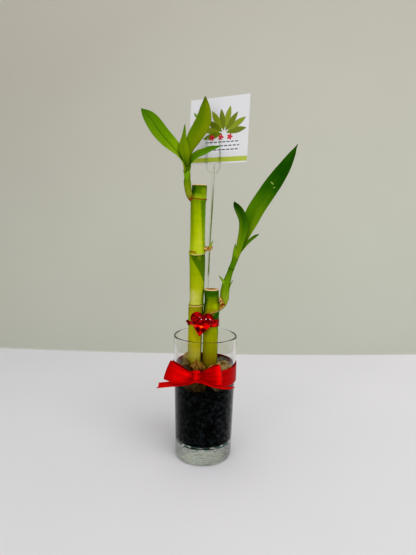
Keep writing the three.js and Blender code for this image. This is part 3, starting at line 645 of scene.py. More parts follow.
@dataclass(frozen=True)
class BasaltGrit:
    """Crushed black basalt, wet: near black, with dull grey glints on its broken faces."""

    dark: str = "#0a0e10"
    light: str = "#3c474c"
    patch_mm: float = 3.4

    def material(self) -> Material:
        """Makes the grit.

        Returns:
            The material.
        """
        material, put = new_material("basalt_grit")
        place = put("TexCoord").outputs["Object"]
        patches = put("TexNoise", [place, 1 / (self.patch_mm * MM), 3])
        tone = put("ValToRGB", [patches], stops=[(0.46, self.dark), (0.68, self.light)])
        shade(put, Base_Color=tone, Roughness=0.5, Specular_IOR_Level=0.05)
        return material


@dataclass(frozen=True)
class RiverStone:
    """Tumbled river stone, damp: mottled tones, fine grain, a soft sheen where water wets it."""

    name: str
    dark: str
    middle: str
    light: str
    grain_mm: float = 0.7
    mottle_mm: float = 5.0

    def material(self) -> Material:
        """Makes the stone.

        Returns:
            The material.
        """
        material, put = new_material(self.name)
        place = put("TexCoord").outputs["Object"]
        mottle = put("TexNoise", [place, 1 / (self.mottle_mm * MM), 4, 0.55, 2, 0.8])
        tones = [(0.36, self.dark), (0.5, self.middle), (0.66, self.light)]
        tone = put("ValToRGB", [mottle], stops=tones)
        grain = put("TexNoise", [place, 1 / (self.grain_mm * MM), 2])
        speck = put("MapRange", [grain, 0.35, 0.65, 0.68, 1.18])
        colour = put("Mix", [1, tone, speck], blend_type="MULTIPLY")
        pits = put("Bump", {"Strength": 0.35, "Distance": 0.3 * MM, "Height": grain})
        shade(put, Base_Color=colour, Roughness=0.5, Specular_IOR_Level=0.15, Normal=pits)
        return material


@dataclass(frozen=True)
class ScarLine:
    """A line at a leaf scar, mostly cork in the skin and in one place painted shade under the scar's ridge:
    its level, half its height, its colour and its reach.
    """

    level: float
    half: float
    colour: str
    start: float = 0.0  # way round the cane: 0 is the back, 0.25 the left and 0.5 the front
    end: float = 1.0
    wobble: float = 0.5  # how far it strays up and down

    def lay(self, put: Put, way: object, level: object, ragged: object, colour: object) -> Node:
        """Lays the line over a skin.

        Args:
            put: Adds a node to the material.
            way: The way round the cane.
            level: The level along it.
            ragged: Noise that frays the line.
            colour: The colour so far.

        Returns:
            The node with the new colour.
        """
        shift = -self.level - self.wobble
        strayed = put("Math MULTIPLY_ADD", [ragged, 2 * self.wobble, shift])
        off = put("Math ADD", [level, strayed])
        apart = put("Math ABSOLUTE", [off])
        near = [apart, 1.3 * self.half, 0.6 * self.half]
        share = put("MapRange", near, interpolation_type="SMOOTHSTEP")
        fade = 0.04
        for edge, inner in ((self.start, self.start + fade), (self.end, self.end - fade)):
            within = put("MapRange", [way, edge, inner])
            share = put("Math MULTIPLY", [share, within])
        return put("Mix", [share, colour, self.colour])


def framed(put: Put, surface: object, middle: Point, tilt: float, halves: Point) -> Node:
    """Coordinates about a mark's middle, turned with the mark and counted in its half sizes.

    Args:
        put: Adds a node to the material.
        surface: The piece's own coordinates.
        middle: The mark's middle.
        tilt: Its tilt in degrees.
        halves: Its half sizes.

    Returns:
        The node with the coordinates.
    """
    centred = put("VectorMath SUBTRACT", [surface, middle])
    level = put("Mapping", {"Vector": centred, "Rotation": (0, 0, math.radians(tilt))})
    return put("VectorMath DIVIDE", [level, halves])


@dataclass(frozen=True)
class Patch:
    """A soft patch of another colour in a skin, among them painted highlights and shade: its middle, half
    sizes, colour, strength and tilt.
    """

    way: float
    level: float
    half_way: float
    half_level: float
    colour: str
    share: float = 1.0
    tilt: float = 0.0
    soft: float = 0.4

    def lay(self, put: Put, surface: object, cloud: object, colour: object) -> Node:
        """Lays the patch over a colour, its edge frayed.

        Args:
            put: Adds a node to the material.
            surface: The piece's own coordinates.
            cloud: Noise that frays the edge.
            colour: The colour so far.

        Returns:
            The node with the new colour.
        """
        halves = (self.half_way, self.half_level, 1)
        scaled = framed(put, surface, (self.way, self.level, 0), self.tilt, halves)
        away = put("VectorMath LENGTH", [scaled])
        frayed = put("Math MULTIPLY_ADD", [cloud, 0.8, away])
        edge = [frayed, 1.2 + self.soft, 1.2 - self.soft, 0, self.share]
        inside = put("MapRange", edge, interpolation_type="SMOOTHSTEP")
        return put("Mix", [inside, colour, self.colour])


def streaked(
    put: Put, surface: object, colour: object, scale: Point, low: float, high: float
) -> tuple[Node, Node]:
    """Lays fine streaks over a colour, along the grain or across it.

    Args:
        put: Adds a node to the material.
        surface: The piece's own coordinates.
        colour: The colour so far.
        scale: Streaks for each unit of the coordinates.
        low: How much the dark streaks darken.
        high: How much the light streaks lighten.

    Returns:
        The node with the new colour and the node with the streaks.
    """
    stretched = put("Mapping", {"Vector": surface, "Scale": scale})
    streak = put("TexNoise", [stretched, 1, 3])
    share = put("MapRange", [streak, 0.3, 0.7, low, high])
    mixed = put("Mix", [1, colour, share], blend_type="MULTIPLY")
    return mixed, streak


@dataclass(frozen=True)
class CaneSkin:
    """Living dracaena cane: waxy skin from yellow-green to dark green, with fine streaks.

    The border says where round the cane the darker side starts, level by level.
    """

    name: str
    low: float
    high: float
    light: Sequence[tuple[float, str]]
    dark: Sequence[tuple[float, str]]
    border: Table
    lines: Sequence[ScarLine] = ()
    patches: Sequence[Patch] = ()

    def stops(self, tones: Stops) -> Stops:
        """Turns levels into positions from 0 to 1."""
        return [((level - self.low) / (self.high - self.low), tone) for level, tone in tones]

    def material(self) -> Material:
        """Makes the skin from the piece's own coordinates: the way round and the level.

        Returns:
            The material.
        """
        material, put = new_material(self.name)
        surface = put("UVMap")
        way, level, _ = put("SeparateXYZ", [surface]).outputs
        place = put("TexCoord").outputs["Object"]
        cloud = put("TexNoise", [place, 220, 4, 0.6])
        at = put("MapRange", [level, self.low, self.high])
        tables = (self.light, self.dark, self.border)
        light, dark, border = (put("ValToRGB", [at], stops=self.stops(table)) for table in tables)
        past = put("Math SUBTRACT", [way, border])
        stray = put("Math MULTIPLY_ADD", [cloud, 0.03, past])
        side = put("MapRange", [stray, 0, 0.045], interpolation_type="SMOOTHSTEP")
        colour = put("Mix", [side, light, dark])
        colour, _ = streaked(put, surface, colour, (20, 0.012, 1), 0.79, 0.98)
        colour, _ = streaked(put, surface, colour, (1.5, 0.35, 1), 0.93, 1.06)
        flecks = put("TexNoise", [place, 900, 2])
        few = put("MapRange", [flecks, 0.66, 0.8, 0, 0.45])
        colour = put("Mix", [few, colour, "#5c5210"])
        for patch in self.patches:
            colour = patch.lay(put, surface, cloud, colour)
        ragged = put("TexNoise", [place, 450, 3])
        for line in self.lines:
            colour = line.lay(put, way, level, ragged, colour)
        _, fibre = streaked(put, surface, colour, (60, 0.02, 1), 1, 1)
        bump = put("Bump", {"Strength": 0.12, "Distance": 0.2 * MM, "Height": fibre})
        shade(
            put, Base_Color=colour, Roughness=0.4, Specular_IOR_Level=0.15, Specular_Tint="#b4c832",
            Subsurface_Weight=0.08, Subsurface_Radius=(0.6, 1, 0.2), Subsurface_Scale=1.2 * MM, Normal=bump
        )
        return material


@dataclass(frozen=True)
class SawnPith:
    """Sawn end of a cane, dried: pale tan fibre round a brown pith."""

    centre: Point
    radius: float
    tones: Stops = ramp("0.25 #7c4319 0.55 #a56c38 0.78 #c99c66 0.98 #d8b88a")

    def material(self) -> Material:
        """Makes the cut from the distance to the cane's axis.

        Returns:
            The material.
        """
        material, put = new_material(f"sawn_pith_{self.centre[2]:.0f}")
        place = put("TexCoord").outputs["Object"]
        centre = tuple(c * MM for c in self.centre)
        centred = put("VectorMath SUBTRACT", [place, centre])
        flat = put("VectorMath MULTIPLY", [centred, (1, 1, 0)])
        away = put("VectorMath LENGTH", [flat])
        fray = put("TexNoise", [place, 700, 3])
        frayed = put("Math MULTIPLY_ADD", [fray, 2.4 * MM, away])
        share = put("MapRange", [frayed, 1.2 * MM, (self.radius + 1.2) * MM])
        tone = put("ValToRGB", [share], stops=self.tones)
        bump = put("Bump", {"Strength": 0.5, "Distance": 0.3 * MM, "Height": fray})
        shade(put, Base_Color=tone, Roughness=0.8, Specular_IOR_Level=0.1, Normal=bump)
        return material


# How light meets and enters a living leaf or shoot: a green gloss, and a little light through it
LIVING = {
    "Specular_IOR_Level": 0.12, "Specular_Tint": "#9cc81e", "Subsurface_Weight": 0.12,
    "Subsurface_Radius": (0.5, 1, 0.15)
}


@dataclass(frozen=True)
class LeafSkin:
    """Dracaena leaf: thin, waxy and a little see-through, with veins that run side by side to the tip.

    Each half of the blade, near and far, has its own tones from foot to tip.
    """

    name: str
    near: Stops
    far: Stops
    rib: str = "#2f5a00"
    rib_share: float = 0.6
    border: float = 0.5  # where across the blade one half's colour gives way to the other's
    blur: float = 0.2
    patches: Sequence[Patch] = ()

    def material(self) -> Material:
        """Makes the leaf from the blade's own coordinates, across and along.

        Returns:
            The material.
        """
        material, put = new_material(self.name)
        surface = put("UVMap")
        across, length, _ = put("SeparateXYZ", [surface]).outputs
        place = put("TexCoord").outputs["Object"]
        cloud = put("TexNoise", [place, 110, 3])
        strayed = put("Math MULTIPLY_ADD", [cloud, 0.12, length])
        at = put("Math SUBTRACT", [strayed, 0.06])
        near, far = (put("ValToRGB", [at], stops=tones) for tones in (self.near, self.far))
        border = [across, self.border - self.blur / 2, self.border + self.blur / 2]
        side = put("MapRange", border, interpolation_type="SMOOTHSTEP")
        colour = put("Mix", [side, near, far])
        colour, veins = streaked(put, surface, colour, (34, 1.3, 1), 0.68, 0.95)
        off = put("Math SUBTRACT", [across, 0.5])
        beside = put("Math ABSOLUTE", [off])
        rib_range = [beside, 0.06, 0.012, 0, self.rib_share]
        on_rib = put("MapRange", rib_range, interpolation_type="SMOOTHSTEP")
        colour = put("Mix", [on_rib, colour, self.rib])
        for patch in self.patches:
            colour = patch.lay(put, surface, cloud, colour)
        bump = put("Bump", {"Strength": 0.3, "Distance": 0.15 * MM, "Height": veins})
        shade(put, Base_Color=colour, Roughness=0.36, Subsurface_Scale=0.8 * MM, Normal=bump, **LIVING)
        return material


@dataclass(frozen=True)
class ShootSkin:
    """Young stem wrapped in leaf sheaths: smooth, waxy green with darker scars, its rings, round it."""

    name: str
    tones: Stops
    rings: Sequence[tuple[float, float, str]] = ()

    def material(self) -> Material:
        """Makes the stem from its own coordinates, round and along.

        Returns:
            The material.
        """
        material, put = new_material(self.name)
        surface = put("UVMap")
        _, length, _ = put("SeparateXYZ", [surface]).outputs
        tone = put("ValToRGB", [length], stops=self.tones)
        colour, streak = streaked(put, surface, tone, (22, 2, 1), 0.55, 0.9)
        place = put("TexCoord").outputs["Object"]
        ragged = put("TexNoise", [place, 500, 2])
        for at, half, ring_tone in self.rings:
            off = put("Math SUBTRACT", [length, at + half / 2])
            strayed = put("Math MULTIPLY_ADD", [ragged, half, off])
            apart = put("Math ABSOLUTE", [strayed])
            near = [apart, half, half * 0.4, 0, 0.9]
            inside = put("MapRange", near, interpolation_type="SMOOTHSTEP")
            colour = put("Mix", [inside, colour, ring_tone])
        bump = put("Bump", {"Strength": 0.3, "Distance": 0.2 * MM, "Height": streak})
        shade(put, Base_Color=colour, Roughness=0.4, Subsurface_Scale=1 * MM, Normal=bump, **LIVING)
        return material


@dataclass(frozen=True)
class DryHusk:
    """Dead bud scales and cork: papery, matt, tan to pinkish brown."""

    tones: Stops = ramp("0.36 #6e3a10 0.5 #a67636 0.62 #d0b074")

    def material(self) -> Material:
        """Makes the husk.

        Returns:
            The material.
        """
        material, put = new_material("dry_husk")
        place = put("TexCoord").outputs["Object"]
        mottle = put("TexNoise", [place, 520, 3])
        tone = put("ValToRGB", [mottle], stops=self.tones)
        shade(put, Base_Color=tone, Roughness=0.85, Specular_IOR_Level=0.1)
        return material


@dataclass(frozen=True)
class PolyesterSatin:
    """Woven polyester satin: deep red, threads along the ribbon, a painted red sheen and painted shade that
    show its folds.
    """

    length: float = 440.0
    thread_mm: float = 0.6  # real threads are about 0.1 mm; drawn coarser so that they show
    billow_mm: float = 7.0
    # Painted sheen and shade: highlights and darker folds at places along the ribbon, in millimetres
    painted_sheen_and_shade: Stops = ramp(
        "44 #8c0018 88 #c80408 128 #e00408 136 #c40004 150 #b80004 168 #a40004 178 #8c0018",
        "220 #8c0018 238 #480002 242 #9c0004 247 #d80608 256 #dc0608 262 #b80004 268 #900004",
        "290 #700004 318 #480002 322 #a00004 334.6 #bc0004 336 #f80c08 339 #f40a08",
        "340.4 #900004 364 #700004 380 #900004 392 #dc0608 412 #d00408 420 #b00004 435 #d80408",
        "440 #c80408"
    )
    # Painted shade in the creases: how strongly the fold streaks darken and lighten it, along the ribbon
    painted_crease_shade: Table = (
        (0, 0), (100, 0), (120, 0.6), (140, 0.6), (160, 0.1), (237, 0), (238, 1), (246, 0.6), (258, 0.2),
        (317, 0), (318, 1), (327, 0.6), (335, 0.25), (379, 0), (380, 0.8), (388, 0.2), (409, 0), (410, 0.9),
        (420, 0.3), (440, 0.2)
    )

    def material(self) -> Material:
        """Makes the satin from the ribbon's own coordinates in millimetres, across and along, with its sheen
        and folds painted.

        Returns:
            The material.
        """
        material, put = new_material("polyester_satin")
        surface = put("UVMap")
        thread = {"Vector": surface, "Scale": 1 / self.thread_mm / 6.28, "Distortion": 0.6}
        threads = put("TexWave", thread)
        _, length, _ = put("SeparateXYZ", [surface]).outputs
        billow = put("TexNoise", [surface, 1 / self.billow_mm, 1])
        strayed = put("Math MULTIPLY_ADD", [billow, 2, length])
        at = put("MapRange", [strayed, 1, self.length + 1])
        tones = [(place / self.length, tone) for place, tone in self.painted_sheen_and_shade]
        tone = put("ValToRGB", [at], stops=tones)
        shares = [(place / self.length, share) for place, share in self.painted_crease_shade]
        crease_shade_share = put("ValToRGB", [at], stops=shares)
        # Painted folds: dark and light streaks that run along the ribbon
        painted_folds, _ = streaked(put, surface, tone, (0.42, 0.05, 1), 0.1, 1.5)
        tone = put("Mix", [crease_shade_share, tone, painted_folds])
        bump = put("Bump", {"Strength": 0.08, "Distance": 0.1 * MM, "Height": threads})
        shade(
            put, Base_Color=tone, Roughness=0.42, Specular_IOR_Level=0.12, Specular_Tint="#ff1408",
            Normal=bump
        )
        return material


@dataclass(frozen=True)
class MouldedVinyl:
    """Soft moulded vinyl: bright red and glossy, darker in its depth, with painted highlight bars and painted
    shade at its edges and ends.
    """

    low: float = 118.9
    high: float = 126.3
    # Dark tone of its depth, also used for the painted shade at its ends
    depth: str = "#5c0006"
    ends: tuple[tuple[float, float], ...] = ((8.9, 9.8), (-12.4, -13.8))  # sideways, where painted shade darkens it as it turns away
    # Painted highlight bars across the band, with painted shade along both edges; its first stop also colours
    # the nub
    painted_highlight_bars: Stops = ramp(
        "0 #6c0008 0.16 #d4040c 0.28 #dc0c10 0.34 #f83830 0.4 #dc0810 0.6 #c00410 0.68 #f43028",
        "0.74 #dc0810 0.86 #c80410 1 #6c0008"
    )

    def material(self) -> Material:
        """Makes the vinyl.

        Returns:
            The material.
        """
        material, put = new_material("moulded_vinyl")
        surface = put("UVMap")
        level, _, _ = put("SeparateXYZ", [surface]).outputs
        place = put("TexCoord").outputs["Object"]
        cloud = put("TexNoise", [place, 260, 2])
        bent = put("Math MULTIPLY_ADD", [cloud, 1.6, level])
        at = put("MapRange", [bent, self.low + 0.8, self.high + 0.8])
        painted_highlight_bars = put("ValToRGB", [at], stops=self.painted_highlight_bars)
        deep = put("MapRange", [cloud, 0.45, 0.36])
        tone = put("Mix", [deep, painted_highlight_bars, self.depth])
        x, _, _ = put("SeparateXYZ", [place]).outputs
        # Painted shade at both ends, where the band turns away
        for start, end in self.ends:
            painted_end_shade = put("MapRange", [x, start * MM, end * MM, 0, 0.75])
            tone = put("Mix", [painted_end_shade, tone, self.depth])
        shade(put, Base_Color=tone, Roughness=0.16, Specular_IOR_Level=0.4, Specular_Tint="#ff6858")
        return material


@dataclass(frozen=True)
class FoilBackedAcrylic:
    """Cast acrylic over foil: ruby red, mirror-sharp gloss, the flashes of its facets painted as lit and dark
    facets, bands and glints.
    """

    # Painted flashes: each facet in the depth painted lit or dark at random
    tones: Stops = ramp("0.15 #4a000a 0.45 #60000a 0.7 #84040a 0.95 #b80c10")
    facet_mm: float = 1.7
    patches: Sequence[Patch] = (
        # Painted light and shade: brighter lobe edges, a bright red band, shoulder and point, orange flashes
        # and two dark facets above the tip
        Patch(-3.5, 7.8, 5, 1.2, "#a8040c", 0.8, 14, 0.25),
        Patch(-8.4, 2.6, 0.8, 4.4, "#a8040c", 0.8, 8, 0.25), Patch(-1, -1.2, 7, 1.7, "#ff1408", 1, -2, 0.3),
        Patch(6.2, -0.8, 4.4, 3.2, "#f00404", 1, 10, 0.3), Patch(0.2, -8, 7.6, 6.2, "#e60c08", 1, 0, 0.25),
        Patch(-5.4, -1.4, 1.9, 1, "#ff4c20", 1, 20, 0.25), Patch(0.4, -1, 1.9, 1, "#ff6a28", 1, -10, 0.25),
        Patch(-2, -4, 2.3, 3.5, "#3c020a", 0.95, -16, 0.2),
        Patch(2.4, -4, 2.5, 2.8, "#44020a", 0.95, 24, 0.2),
        # Painted glints
        Patch(-2.4, 6.8, 0.5, 0.4, "#ff9c98", 0.8, 0, 0.3),
        Patch(-0.7, 5.2, 0.6, 0.45, "#ffc8c4", 1, 20, 0.3),
        Patch(3.1, 6.1, 0.55, 0.7, "#ffc4c4", 1, 20, 0.3), Patch(6.7, 6.2, 1.5, 0.35, "#ff9ca0", 1, 24, 0.3)
    )

    def material(self) -> Material:
        """Makes the stone from its own coordinates, in millimetres from its middle.

        Returns:
            The material.
        """
        material, put = new_material("foil_backed_acrylic")
        surface = put("UVMap")
        facet = put("TexVoronoi", {"Vector": surface, "Scale": 1 / self.facet_mm})
        lit, _, _ = put("SeparateXYZ", [facet.outputs["Color"]]).outputs
        # Each facet painted lit or dark
        colour = put("ValToRGB", [lit], stops=self.tones)
        cloud = put("TexNoise", [surface, 1.2, 3])
        for patch in self.patches:
            colour = patch.lay(put, surface, cloud, colour)
        shade(put, Base_Color=colour, Roughness=0.1, Specular_IOR_Level=0.12, Specular_Tint="#ff5040")
        return material


@dataclass(frozen=True)
class Mark:
    """A printed leaf or blossom on the card: its middle, half sizes, tilt in degrees and colour."""

    across: float
    up: float
    half_length: float
    half_width: float
    tilt: float
    colour: str
    blossom: bool = False

    def print_on(self, put: Put, surface: object, colour: object) -> Node:
        """Prints the mark.

        A leaf's half width falls off with the square of the way to its ends. A blossom's radius rises
        and falls five times round it.

        Args:
            put: Adds a node to the material.
            surface: The card's own coordinates.
            colour: The colour so far.

        Returns:
            The node with the new colour.
        """
        halves = (self.half_length, self.half_width, 1)
        scaled = framed(put, surface, (self.across, self.up, 0), -self.tilt, halves)
        x, y, _ = put("SeparateXYZ", [scaled]).outputs
        if self.blossom:
            phase = put("Math MULTIPLY", [put("Math ARCTAN2", [y, x]), 2.5])
            petal = put("Math ABSOLUTE", [put("Math COSINE", [phase])])
            edge = put("Math MULTIPLY_ADD", [petal, 0.5, 0.5])
            inside = put("Math LESS_THAN", [put("VectorMath LENGTH", [scaled]), edge])
        else:
            reach = put("Math MULTIPLY_ADD", [x, x, put("Math ABSOLUTE", [y])])
            inside = put("Math LESS_THAN", [reach, 1])
        return put("Mix", [inside, colour, self.colour])


@dataclass(frozen=True)
class CoatedBoard:
    """Coated card stock, offset printed: bright white, faintly glossy, with leaves, blossoms and rules.

    The strip and the broken rules cover shares of the card: low and high, or left, low, right and high.
    """

    marks: Sequence[Mark] = ()
    strip: tuple[float, float] = (0.022, 0.096)
    strip_colour: str = "#a9b740"
    rules: tuple[float, float, float, float] = (0.3, 0.176, 0.86, 0.352)
    rule_colour: str = "#45494b"
    rows: float = 17.0

    @staticmethod
    def paper(put: Put, surface: object) -> Node:
        """Adds the bare paper with its faint fibres."""
        fibre = put("TexNoise", [surface, 90, 2])
        return put("ValToRGB", [fibre], stops=[(0.3, "#d6d5d6"), (0.7, "#dddcdd")])

    def plain(self) -> Material:
        """Makes the unprinted back and edges.

        Returns:
            The material.
        """
        material, put = new_material("plain_board")
        surface = put("UVMap")
        shade(put, Base_Color=self.paper(put, surface), Roughness=0.7, Specular_IOR_Level=0.2)
        return material

    def printed(self) -> Material:
        """Makes the printed face from the card's own coordinates.

        Returns:
            The material.
        """
        material, put = new_material("coated_board")
        surface = put("UVMap")
        paper = self.paper(put, surface)
        x, y, _ = put("SeparateXYZ", [surface]).outputs
        low, high = self.strip
        on_strip = put("Math COMPARE", [y, (low + high) / 2, (high - low) / 2])
        colour = put("Mix", [on_strip, paper, self.strip_colour])
        left, low, right, high = self.rules
        within_x = put("Math COMPARE", [x, (left + right) / 2, (right - left) / 2])
        within_y = put("Math COMPARE", [y, (low + high) / 2, (high - low) / 2])
        within = put("Math MULTIPLY", [within_x, within_y])
        spread = put("Mapping", {"Vector": surface, "Scale": (2.4 * self.rows, self.rows, 1)})
        dashes = {
            "Vector": spread, "Color1": self.rule_colour, "Color2": self.rule_colour, "Mortar": "#e0dfe2",
            "Scale": 1, "Mortar Size": 0.37, "Brick Width": 2.9, "Row Height": 1
        }
        broken = put("TexBrick", dashes)
        colour = put("Mix", [within, colour, broken])
        for mark in self.marks:
            colour = mark.print_on(put, surface, colour)
        shade(put, Base_Color=colour, Roughness=0.45, Specular_IOR_Level=0.3)
        return material


@dataclass(frozen=True)
class ClearStyrene:
    """Injection-moulded clear polystyrene: thin and glossy, a painted green line down its stem.

    It is a painted refraction of the plant beside it, one thin dark line along one edge.
    """

    tint: str = "#f2f6f0"
    painted_plant_refraction: str = "#77883c"
    lean: float = 0.0345  # how far the stem moves to the side for each step up
    foot: float = -4.86  # side place of its middle line at level zero
    edge: tuple[float, float] = (0.1, 0.4)
    levels: tuple[float, float, float, float] = (160, 165, 246, 224)

    def material(self) -> Material:
        """Makes the styrene, with faint flow marks from the mould.

        Returns:
            The material.
        """
        material, put = new_material("clear_styrene")
        place = put("TexCoord").outputs["Object"]
        flow = put("Mapping", {"Vector": place, "Scale": (600, 600, 60)})
        marks = put("TexNoise", [flow, 1, 2])
        bump = put("Bump", {"Strength": 0.1, "Distance": 0.05 * MM, "Height": marks})
        x, _, level = put("SeparateXYZ", [place]).outputs
        # Painted refraction: the plant's thin dark line along one edge of the stem, between the given levels
        side = put("Math MULTIPLY_ADD", [level, -self.lean, x])
        share = put("MapRange", [side, *((self.foot + step) * MM for step in self.edge)])
        for none, full in (self.levels[:2], self.levels[2:]):
            within = put("MapRange", [level, none * MM, full * MM])
            share = put("Math MULTIPLY", [share, within])
        tint = put("Mix", [share, self.tint, self.painted_plant_refraction])
        shade(
            put, Base_Color=tint, Roughness=0.06, IOR=1.32, Transmission_Weight=1, Specular_Tint="#303030",
            Normal=bump
        )
        return material


@dataclass
class Tumbler:
    """The glass tumbler: a straight wall on a thick clear base."""

    height: float = 110.4
    base_radius: float = 25.3
    rim_radius: float = 28.0
    heel_radius: float = 2.5
    wall: float = 1.6
    floor: float = 15.2
    floor_corner: float = 5.0
    wet_to: float = 69.0
    sides: int = 144
    finish: SodaLimeGlass = field(default_factory=SodaLimeGlass)

    def radius_at(self, height: float) -> float:
        """Radius of the outside at a height."""
        return self.base_radius + (self.rim_radius - self.base_radius) * height / self.height

    def build(self) -> None:
        """Turns the tumbler, with its foot and the wall that the wet gravel touches in slots of their own."""
        lip = self.wall / 2
        corner = self.floor_corner
        inner_foot = self.radius_at(self.floor + corner) - self.wall
        foot = arc(
            (self.base_radius - self.heel_radius, self.heel_radius), self.heel_radius, -math.pi / 2, 0, 10
        )
        outside = [(self.radius_at(h), h) for h in (self.floor, 30, 50, 80, 100, 106, 109)]
        outside += arc((self.rim_radius - lip, self.height - lip), lip, 0, math.pi, 14)
        inside = [(self.radius_at(h) - self.wall, h) for h in (109, 106, 100, 85, self.wet_to)]
        wet = [(self.radius_at(50) - self.wall, 50)]
        wet += arc((inner_foot - corner, self.floor + corner), corner, 0, -math.pi / 2, 10)
        profile = foot + outside + inside + wet
        shape = skin(turned(profile, self.sides), np.linspace(0, 1, len(profile)))
        bands = [2] * len(foot) + [0] * (len(outside + inside) - 1) + [1] * len(wet)
        shape.slots = [slot for slot in (*bands, 2, 1) for _ in range(self.sides)]
        dress(shape, "glass_tumbler", self.finish.materials(), "glass")


@dataclass
class GravelBed:
    """The black gravel: a packed core with loose grains all over it, spread by a node tree."""

    tumbler: Tumbler
    top: float = 69.0
    core_inset: float = 1.4
    floor_inset: float = 0.9
    relief: float = 0.7
    dip: float = 2.4  # how far its edge sinks under the low pebbles in front
    lumps_round: int = 20
    lump_height: float = 3.8
    grain: float = 1.3
    spacing: float = 2.2
    seed: int = 7
    finish: BasaltGrit = field(default_factory=BasaltGrit)

    def core(self) -> Shape:
        """Turns the lumpy core that fills the tumbler to just under its grains.

        Returns:
            The closed core.
        """
        tumbler = self.tumbler
        low = tumbler.floor + self.floor_inset
        corner = tumbler.floor_corner - self.floor_inset
        foot = tumbler.radius_at(low + corner) - tumbler.wall - self.core_inset
        levels = np.linspace(low + corner, self.top - self.core_inset / 2, 28)
        side = [(tumbler.radius_at(h) - tumbler.wall - self.core_inset, h) for h in levels]
        profile = arc((foot - corner, low + corner), corner, -math.pi / 2, 0, 6)[:-1] + side
        profile += [(side[-1][0] * share, levels[-1]) for share in (0.85, 0.7, 0.55, 0.4, 0.25, 0.1)]
        rings = turned(profile, 96)
        angle = np.arctan2(rings[..., 1], rings[..., 0])
        row = rings[..., 2] / self.lump_height
        lumps = 0.5 + 0.5 * np.cos(self.lumps_round * angle) * np.cos(math.pi * row)
        out = np.hypot(rings[..., 0], rings[..., 1]) / side[-1][0]
        # The dip is in front only, and fades out in the 12 mm below its full depth
        front = np.clip((-np.sin(angle) - 0.5) / 0.3, 0, 1)
        front = front * np.clip((rings[..., 2] - self.top + 14) / 12, 0, 1)
        rings[..., 2] -= self.dip * front * np.clip(out, 0, 1) ** 2
        rings[..., :2] *= 1 - (self.relief * lumps / side[-1][0])[..., None]
        return skin(rings, np.linspace(0, 1, len(profile)))

    def strewing_tree(self) -> bpy.types.GeometryNodeTree:
        """Builds the tree that strews grains over the core's skin and keeps the core under them.

        Returns:
            The node tree.
        """
        tree = bpy.data.node_groups.new("strew_grains", "GeometryNodeTree")
        tree.is_modifier = True
        kinds = {
            "Geometry": "Geometry", "Spacing": "Float", "Grain radius": "Float", "Seed": "Int",
            "Finish": "Material"
        }
        for name, kind in kinds.items():
            tree.interface.new_socket(name, in_out="INPUT", socket_type=f"NodeSocket{kind}")
        tree.interface.new_socket("Geometry", in_out="OUTPUT", socket_type="NodeSocketGeometry")
        put = partial(add_node, tree)
        given = put("NodeGroupInput").outputs
        spread = {
            "Mesh": given["Geometry"], "Distance Min": given["Spacing"], "Density Max": 900000,
            "Seed": given["Seed"]
        }
        points = put("DistributePointsOnFaces", spread, distribute_method="POISSON")
        ball_of = {"Radius": given["Grain radius"], "Subdivisions": 2}
        grain = put("MeshIcoSphere", ball_of)
        sizes = [(0.7, 0.5, 0.6), (1.05, 0.9, 1), None, given["Seed"]]
        size = put("FunctionNodeRandomValue", sizes, data_type="FLOAT_VECTOR")
        turns = [(0, 0, 0), (6.28, 6.28, 6.28), None, given["Seed"]]
        turn = put("FunctionNodeRandomValue", turns, data_type="FLOAT_VECTOR")
        placed = {"Points": points, "Instance": grain, "Rotation": turn, "Scale": size}
        grains = put("InstanceOnPoints", placed)
        flat = put("SetShadeSmooth", {"Geometry": grains, "Shade Smooth": False})
        both = put("JoinGeometry", [flat])
        tree.links.new(given["Geometry"], both.inputs[0])
        whole = put("RealizeInstances", [both])
        finished = put("SetMaterial", {"Geometry": whole, "Material": given["Finish"]})
        put("NodeGroupOutput", [finished])
        return tree

    def build(self) -> None:
        """Strews the grains, turns the result into one mesh and dresses it."""
        core = self.core()
        mesh = bpy.data.meshes.new("gravel_core")
        mesh.from_pydata((core.vertices * MM).tolist(), [], core.faces)
        turn_outwards(mesh)
        host = show("gravel_core", mesh)
        tree = self.strewing_tree()
        finish = self.finish.material()
        strew = host.modifiers.new("strew", "NODES")
        strew.node_group = tree
        values = {
            "Spacing": self.spacing * MM, "Grain radius": self.grain * MM, "Seed": self.seed,
            "Finish": finish
        }
        for item in tree.interface.items_tree:
            if item.item_type == "SOCKET" and item.in_out == "INPUT" and item.name in values:
                strew[item.identifier] = values[item.name]
        graph = bpy.context.evaluated_depsgraph_get()
        whole = bpy.data.meshes.new_from_object(host.evaluated_get(graph))
        host.modifiers.clear()
        bpy.data.objects.remove(host)
        whole.name = "black_gravel"
        whole.materials.clear()
        dress(whole, "black_gravel", [finish], "gravel")


class Stone(Enum):
    """The pebbles' kinds of stone: dark, middle and light tone."""

    BROWN = ("#523610", "#98722e", "#c09c58")
    UMBER = ("#2c200c", "#5c481c", "#82703c")
    GREY = ("#745a2c", "#b89858", "#e0cc98")
    SLATE = ("#34322a", "#6a6654", "#a8a48c")
    TAN = ("#7c6030", "#b4965a", "#d8bc84")


@dataclass(frozen=True)
class Pebble:
    """One pebble: its node, where its middle is, its half sizes and its turn in degrees."""

    node: str
    middle: Point
    halves: Point
    turn: float

    def build(self, finish: Material) -> None:
        """Shapes the pebble: an uneven, water-worn lump.

        Args:
            finish: The stone's material.
        """
        points, faces = ball(5)
        seed = self.middle[0] + 2 * self.middle[1]
        x, y, z = points.T
        lump = 0.99 + 0.07 * np.sin(2.3 * x + seed) + 0.06 * np.sin(2.9 * y + 2 * seed)
        lump += 0.05 * np.sin(3.4 * z + 3 * seed) + 0.035 * lumps_at(points, 0.45, seed)
        points = points * lump[:, None] * np.array(self.halves)
        angle = math.radians(self.turn)
        turn = np.array(
            [[math.cos(angle), -math.sin(angle), 0], [math.sin(angle), math.cos(angle), 0], [0, 0, 1]]
        )
        shape = Shape(points @ turn.T + np.array(self.middle), faces)
        dress(shape, self.node.replace("pebble", "river_stone"), [finish], self.node)


